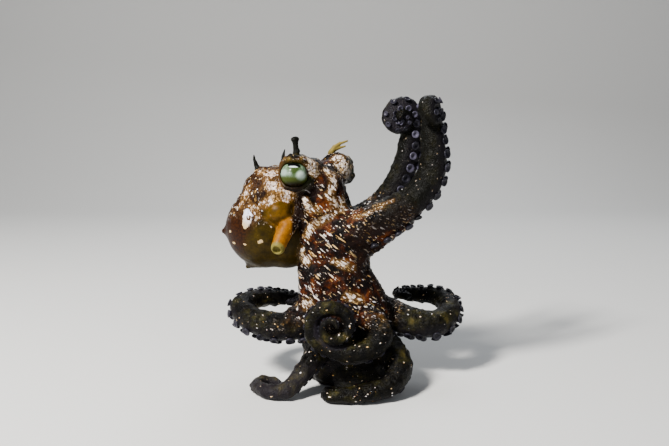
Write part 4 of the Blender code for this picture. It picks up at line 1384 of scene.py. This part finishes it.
def scatter(name, template, places, ways, sizes, tone, material):
    """Puts the template at each place by Geometry Nodes, its Z along the way there, and bakes the result."""
    piece = from_arrays(name, places, [])
    turns = [Vector(way).to_track_quat("Z", "Y").to_euler() for way in ways]
    store(piece, "turn", np.array(turns))
    store(piece, "size", np.asarray(sizes, float))
    store(piece, "tone", np.asarray(tone, float))
    group = bpy.data.node_groups.new(name, "GeometryNodeTree")
    group.interface.new_socket("Geometry", in_out="INPUT", socket_type="NodeSocketGeometry")
    chosen = group.interface.new_socket("Template", in_out="INPUT", socket_type="NodeSocketObject")
    scale = group.interface.new_socket("Scale", in_out="INPUT", socket_type="NodeSocketFloat")
    finish = group.interface.new_socket("Material", in_out="INPUT", socket_type="NodeSocketMaterial")
    group.interface.new_socket("Geometry", in_out="OUTPUT", socket_type="NodeSocketGeometry")
    kinds = {
        "start": "NodeGroupInput", "end": "NodeGroupOutput", "info": "GeometryNodeObjectInfo",
        "turn": "GeometryNodeInputNamedAttribute", "size": "GeometryNodeInputNamedAttribute",
        "rotation": "FunctionNodeEulerToRotation", "times": "ShaderNodeVectorMath",
        "put": "GeometryNodeInstanceOnPoints", "real": "GeometryNodeRealizeInstances",
        "paint": "GeometryNodeSetMaterial",
    }
    nodes = {key: group.nodes.new(kind) for key, kind in kinds.items()}
    for key in ("turn", "size"):
        nodes[key].data_type = "FLOAT_VECTOR"
        nodes[key].inputs["Name"].default_value = key
    nodes["times"].operation = "SCALE"
    for source, output, target, socket in (
        ("start", "Template", "info", "Object"),
        ("info", "Geometry", "put", "Instance"),
        ("start", "Geometry", "put", "Points"),
        ("turn", "Attribute", "rotation", 0),
        ("rotation", 0, "put", "Rotation"),
        ("size", "Attribute", "times", 0),
        ("start", "Scale", "times", "Scale"),
        ("times", 0, "put", "Scale"),
        ("put", 0, "real", 0),
        ("real", 0, "paint", "Geometry"),
        ("start", "Material", "paint", "Material"),
        ("paint", 0, "end", 0),
    ):
        group.links.new(nodes[source].outputs[output], nodes[target].inputs[socket])
    modifier = piece.modifiers.new(name, "NODES")
    modifier.node_group = group
    modifier[chosen.identifier] = template
    modifier[scale.identifier] = 1.0
    modifier[finish.identifier] = material
    piece.data.update()
    graph = bpy.context.evaluated_depsgraph_get()
    mesh = bpy.data.meshes.new_from_object(piece.evaluated_get(graph), depsgraph=graph)
    piece.modifiers.clear()
    piece.data = mesh
    mesh.shade_smooth()
    bpy.data.objects.remove(template)
    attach(piece, "root")
    return piece


def sucker_material():
    s = Shader("octopus_sucker")
    fine = s.noise(s.place(), 0.8, 3.0, 0.6)
    colour = s.ramp(s.plus(s.attribute("tone"), s.times_plus(fine, 0.4, -0.2)), SUCKER_TONES)
    s.surface.inputs["Specular IOR Level"].default_value = 0.15
    return s.finish(colour, 0.28)


# %% Suckers on the arms
FIRST_SUCKERS = {-1: 2.0, 1: 3.2}  # mm along the arm, for each row
BARE_TIP = 0.6  # mm of tip without suckers
HIDDEN_DEPTH = -2.2  # a place deeper in the body than this has no sucker
BRIGHT_ARM, BRIGHT_TONE, DIM_TONE = "arm_left_1", 0.75, 0.3
chance = np.random.default_rng(7)
starts, ways, sizes, tones = [], [], [], []
for arm in ARMS:
    line, radii = arm_lines[arm.name], arm_radii[arm.name]
    tone = BRIGHT_TONE if arm.name == BRIGHT_ARM else DIM_TONE
    for row, along in FIRST_SUCKERS.items():
        while along < line.length - BARE_TIP:
            k = int(np.searchsorted(line.along, along))
            size = float(np.clip(radii[k] * SUCKER_SHARE, SUCKER_SMALLEST, SUCKER_LARGEST))
            bearing = math.radians(SUCKER_BEARING) * row
            way = math.cos(bearing) * line.orals[k] + math.sin(bearing) * line.sides[k]
            place = line.points[k] + way * radii[k] * 0.85
            if body(place[None])[0] > HIDDEN_DEPTH and place[2] + way[2] * size > size:
                starts.append(place)
                ways.append(unit(way + chance.normal(0, 0.12, 3)))
                sizes.append([size * chance.uniform(0.92, 1.06)] * 3)
                tones.append(chance.uniform(0.1, 1.0) * tone)
            along += size * SUCKER_PITCH
starts = draw_onto_skin(np.array(starts), 4, 1.0)
suckers = scatter("suckers", cup(), starts, ways, np.array(sizes), tones, sucker_material())
print("suckers", len(starts), "faces", len(suckers.data.polygons))

# %% [markdown]
# ## Floor, light and finish
#
# A pale floor that curves up behind the animal, a soft key light from the upper left front,
# a weak fill from the right, a rim light from behind, and a pale world.

# %% Stage
FLOOR_HALF, BACK_AT, BACK_RADIUS, BACK_HEIGHT = 1.6, 1.1, 0.5, 1.6  # metres
BACK_STEPS = 16
LIGHT_TARGET = (0, 0, 0.06)
LIGHTS = (  # name, place and size in metres, power in watts, colour
    ("key", (-0.40, -0.40, 0.60), 0.14, 20.0, (1.0, 0.97, 0.92)),
    ("fill", (0.7, -0.6, 0.35), 0.6, 0.8, (0.88, 0.93, 1.0)),
    ("rim", (0.1, 0.6, 0.6), 0.4, 3.0, (0.92, 0.96, 1.0)),
)
WORLD_COLOUR, WORLD_STRENGTH = (0.86, 0.91, 1.0, 1), 0.24


def make_floor():
    profile = [(-FLOOR_HALF, 0.0), (BACK_AT - BACK_RADIUS, 0.0)]
    for k in range(1, BACK_STEPS + 1):
        angle = k / BACK_STEPS * math.pi / 2
        back, up = BACK_RADIUS * math.sin(angle), BACK_RADIUS * (1 - math.cos(angle))
        profile.append((BACK_AT - BACK_RADIUS + back, up))
    profile.append((BACK_AT, BACK_HEIGHT))
    places = [(x, y, z) for y, z in profile for x in (-2 * FLOOR_HALF, 2 * FLOOR_HALF)]
    faces = [(2 * k, 2 * k + 1, 2 * k + 3, 2 * k + 2) for k in range(len(profile) - 1)]
    floor = from_arrays("floor", np.array(places) / MM, faces)
    s = Shader("pale_floor")
    floor.data.materials.append(s.finish((0.62, 0.62, 0.61, 1), 0.8))


def make_light(name, place, size, power, colour):
    data = bpy.data.lights.new(name, "AREA")
    data.size, data.energy, data.color = size, power, colour
    light = bpy.data.objects.new(name, data)
    light.location = place
    light.rotation_euler = (Vector(LIGHT_TARGET) - Vector(place)).to_track_quat("-Z", "Y").to_euler()
    bpy.context.scene.collection.objects.link(light)


make_floor()
for light in LIGHTS:
    make_light(*light)
world = bpy.data.worlds.new("pale_world")
bpy.context.scene.world = world
world.use_nodes = True
background = world.node_tree.nodes["Background"]
background.inputs["Color"].default_value = WORLD_COLOUR
background.inputs["Strength"].default_value = WORLD_STRENGTH
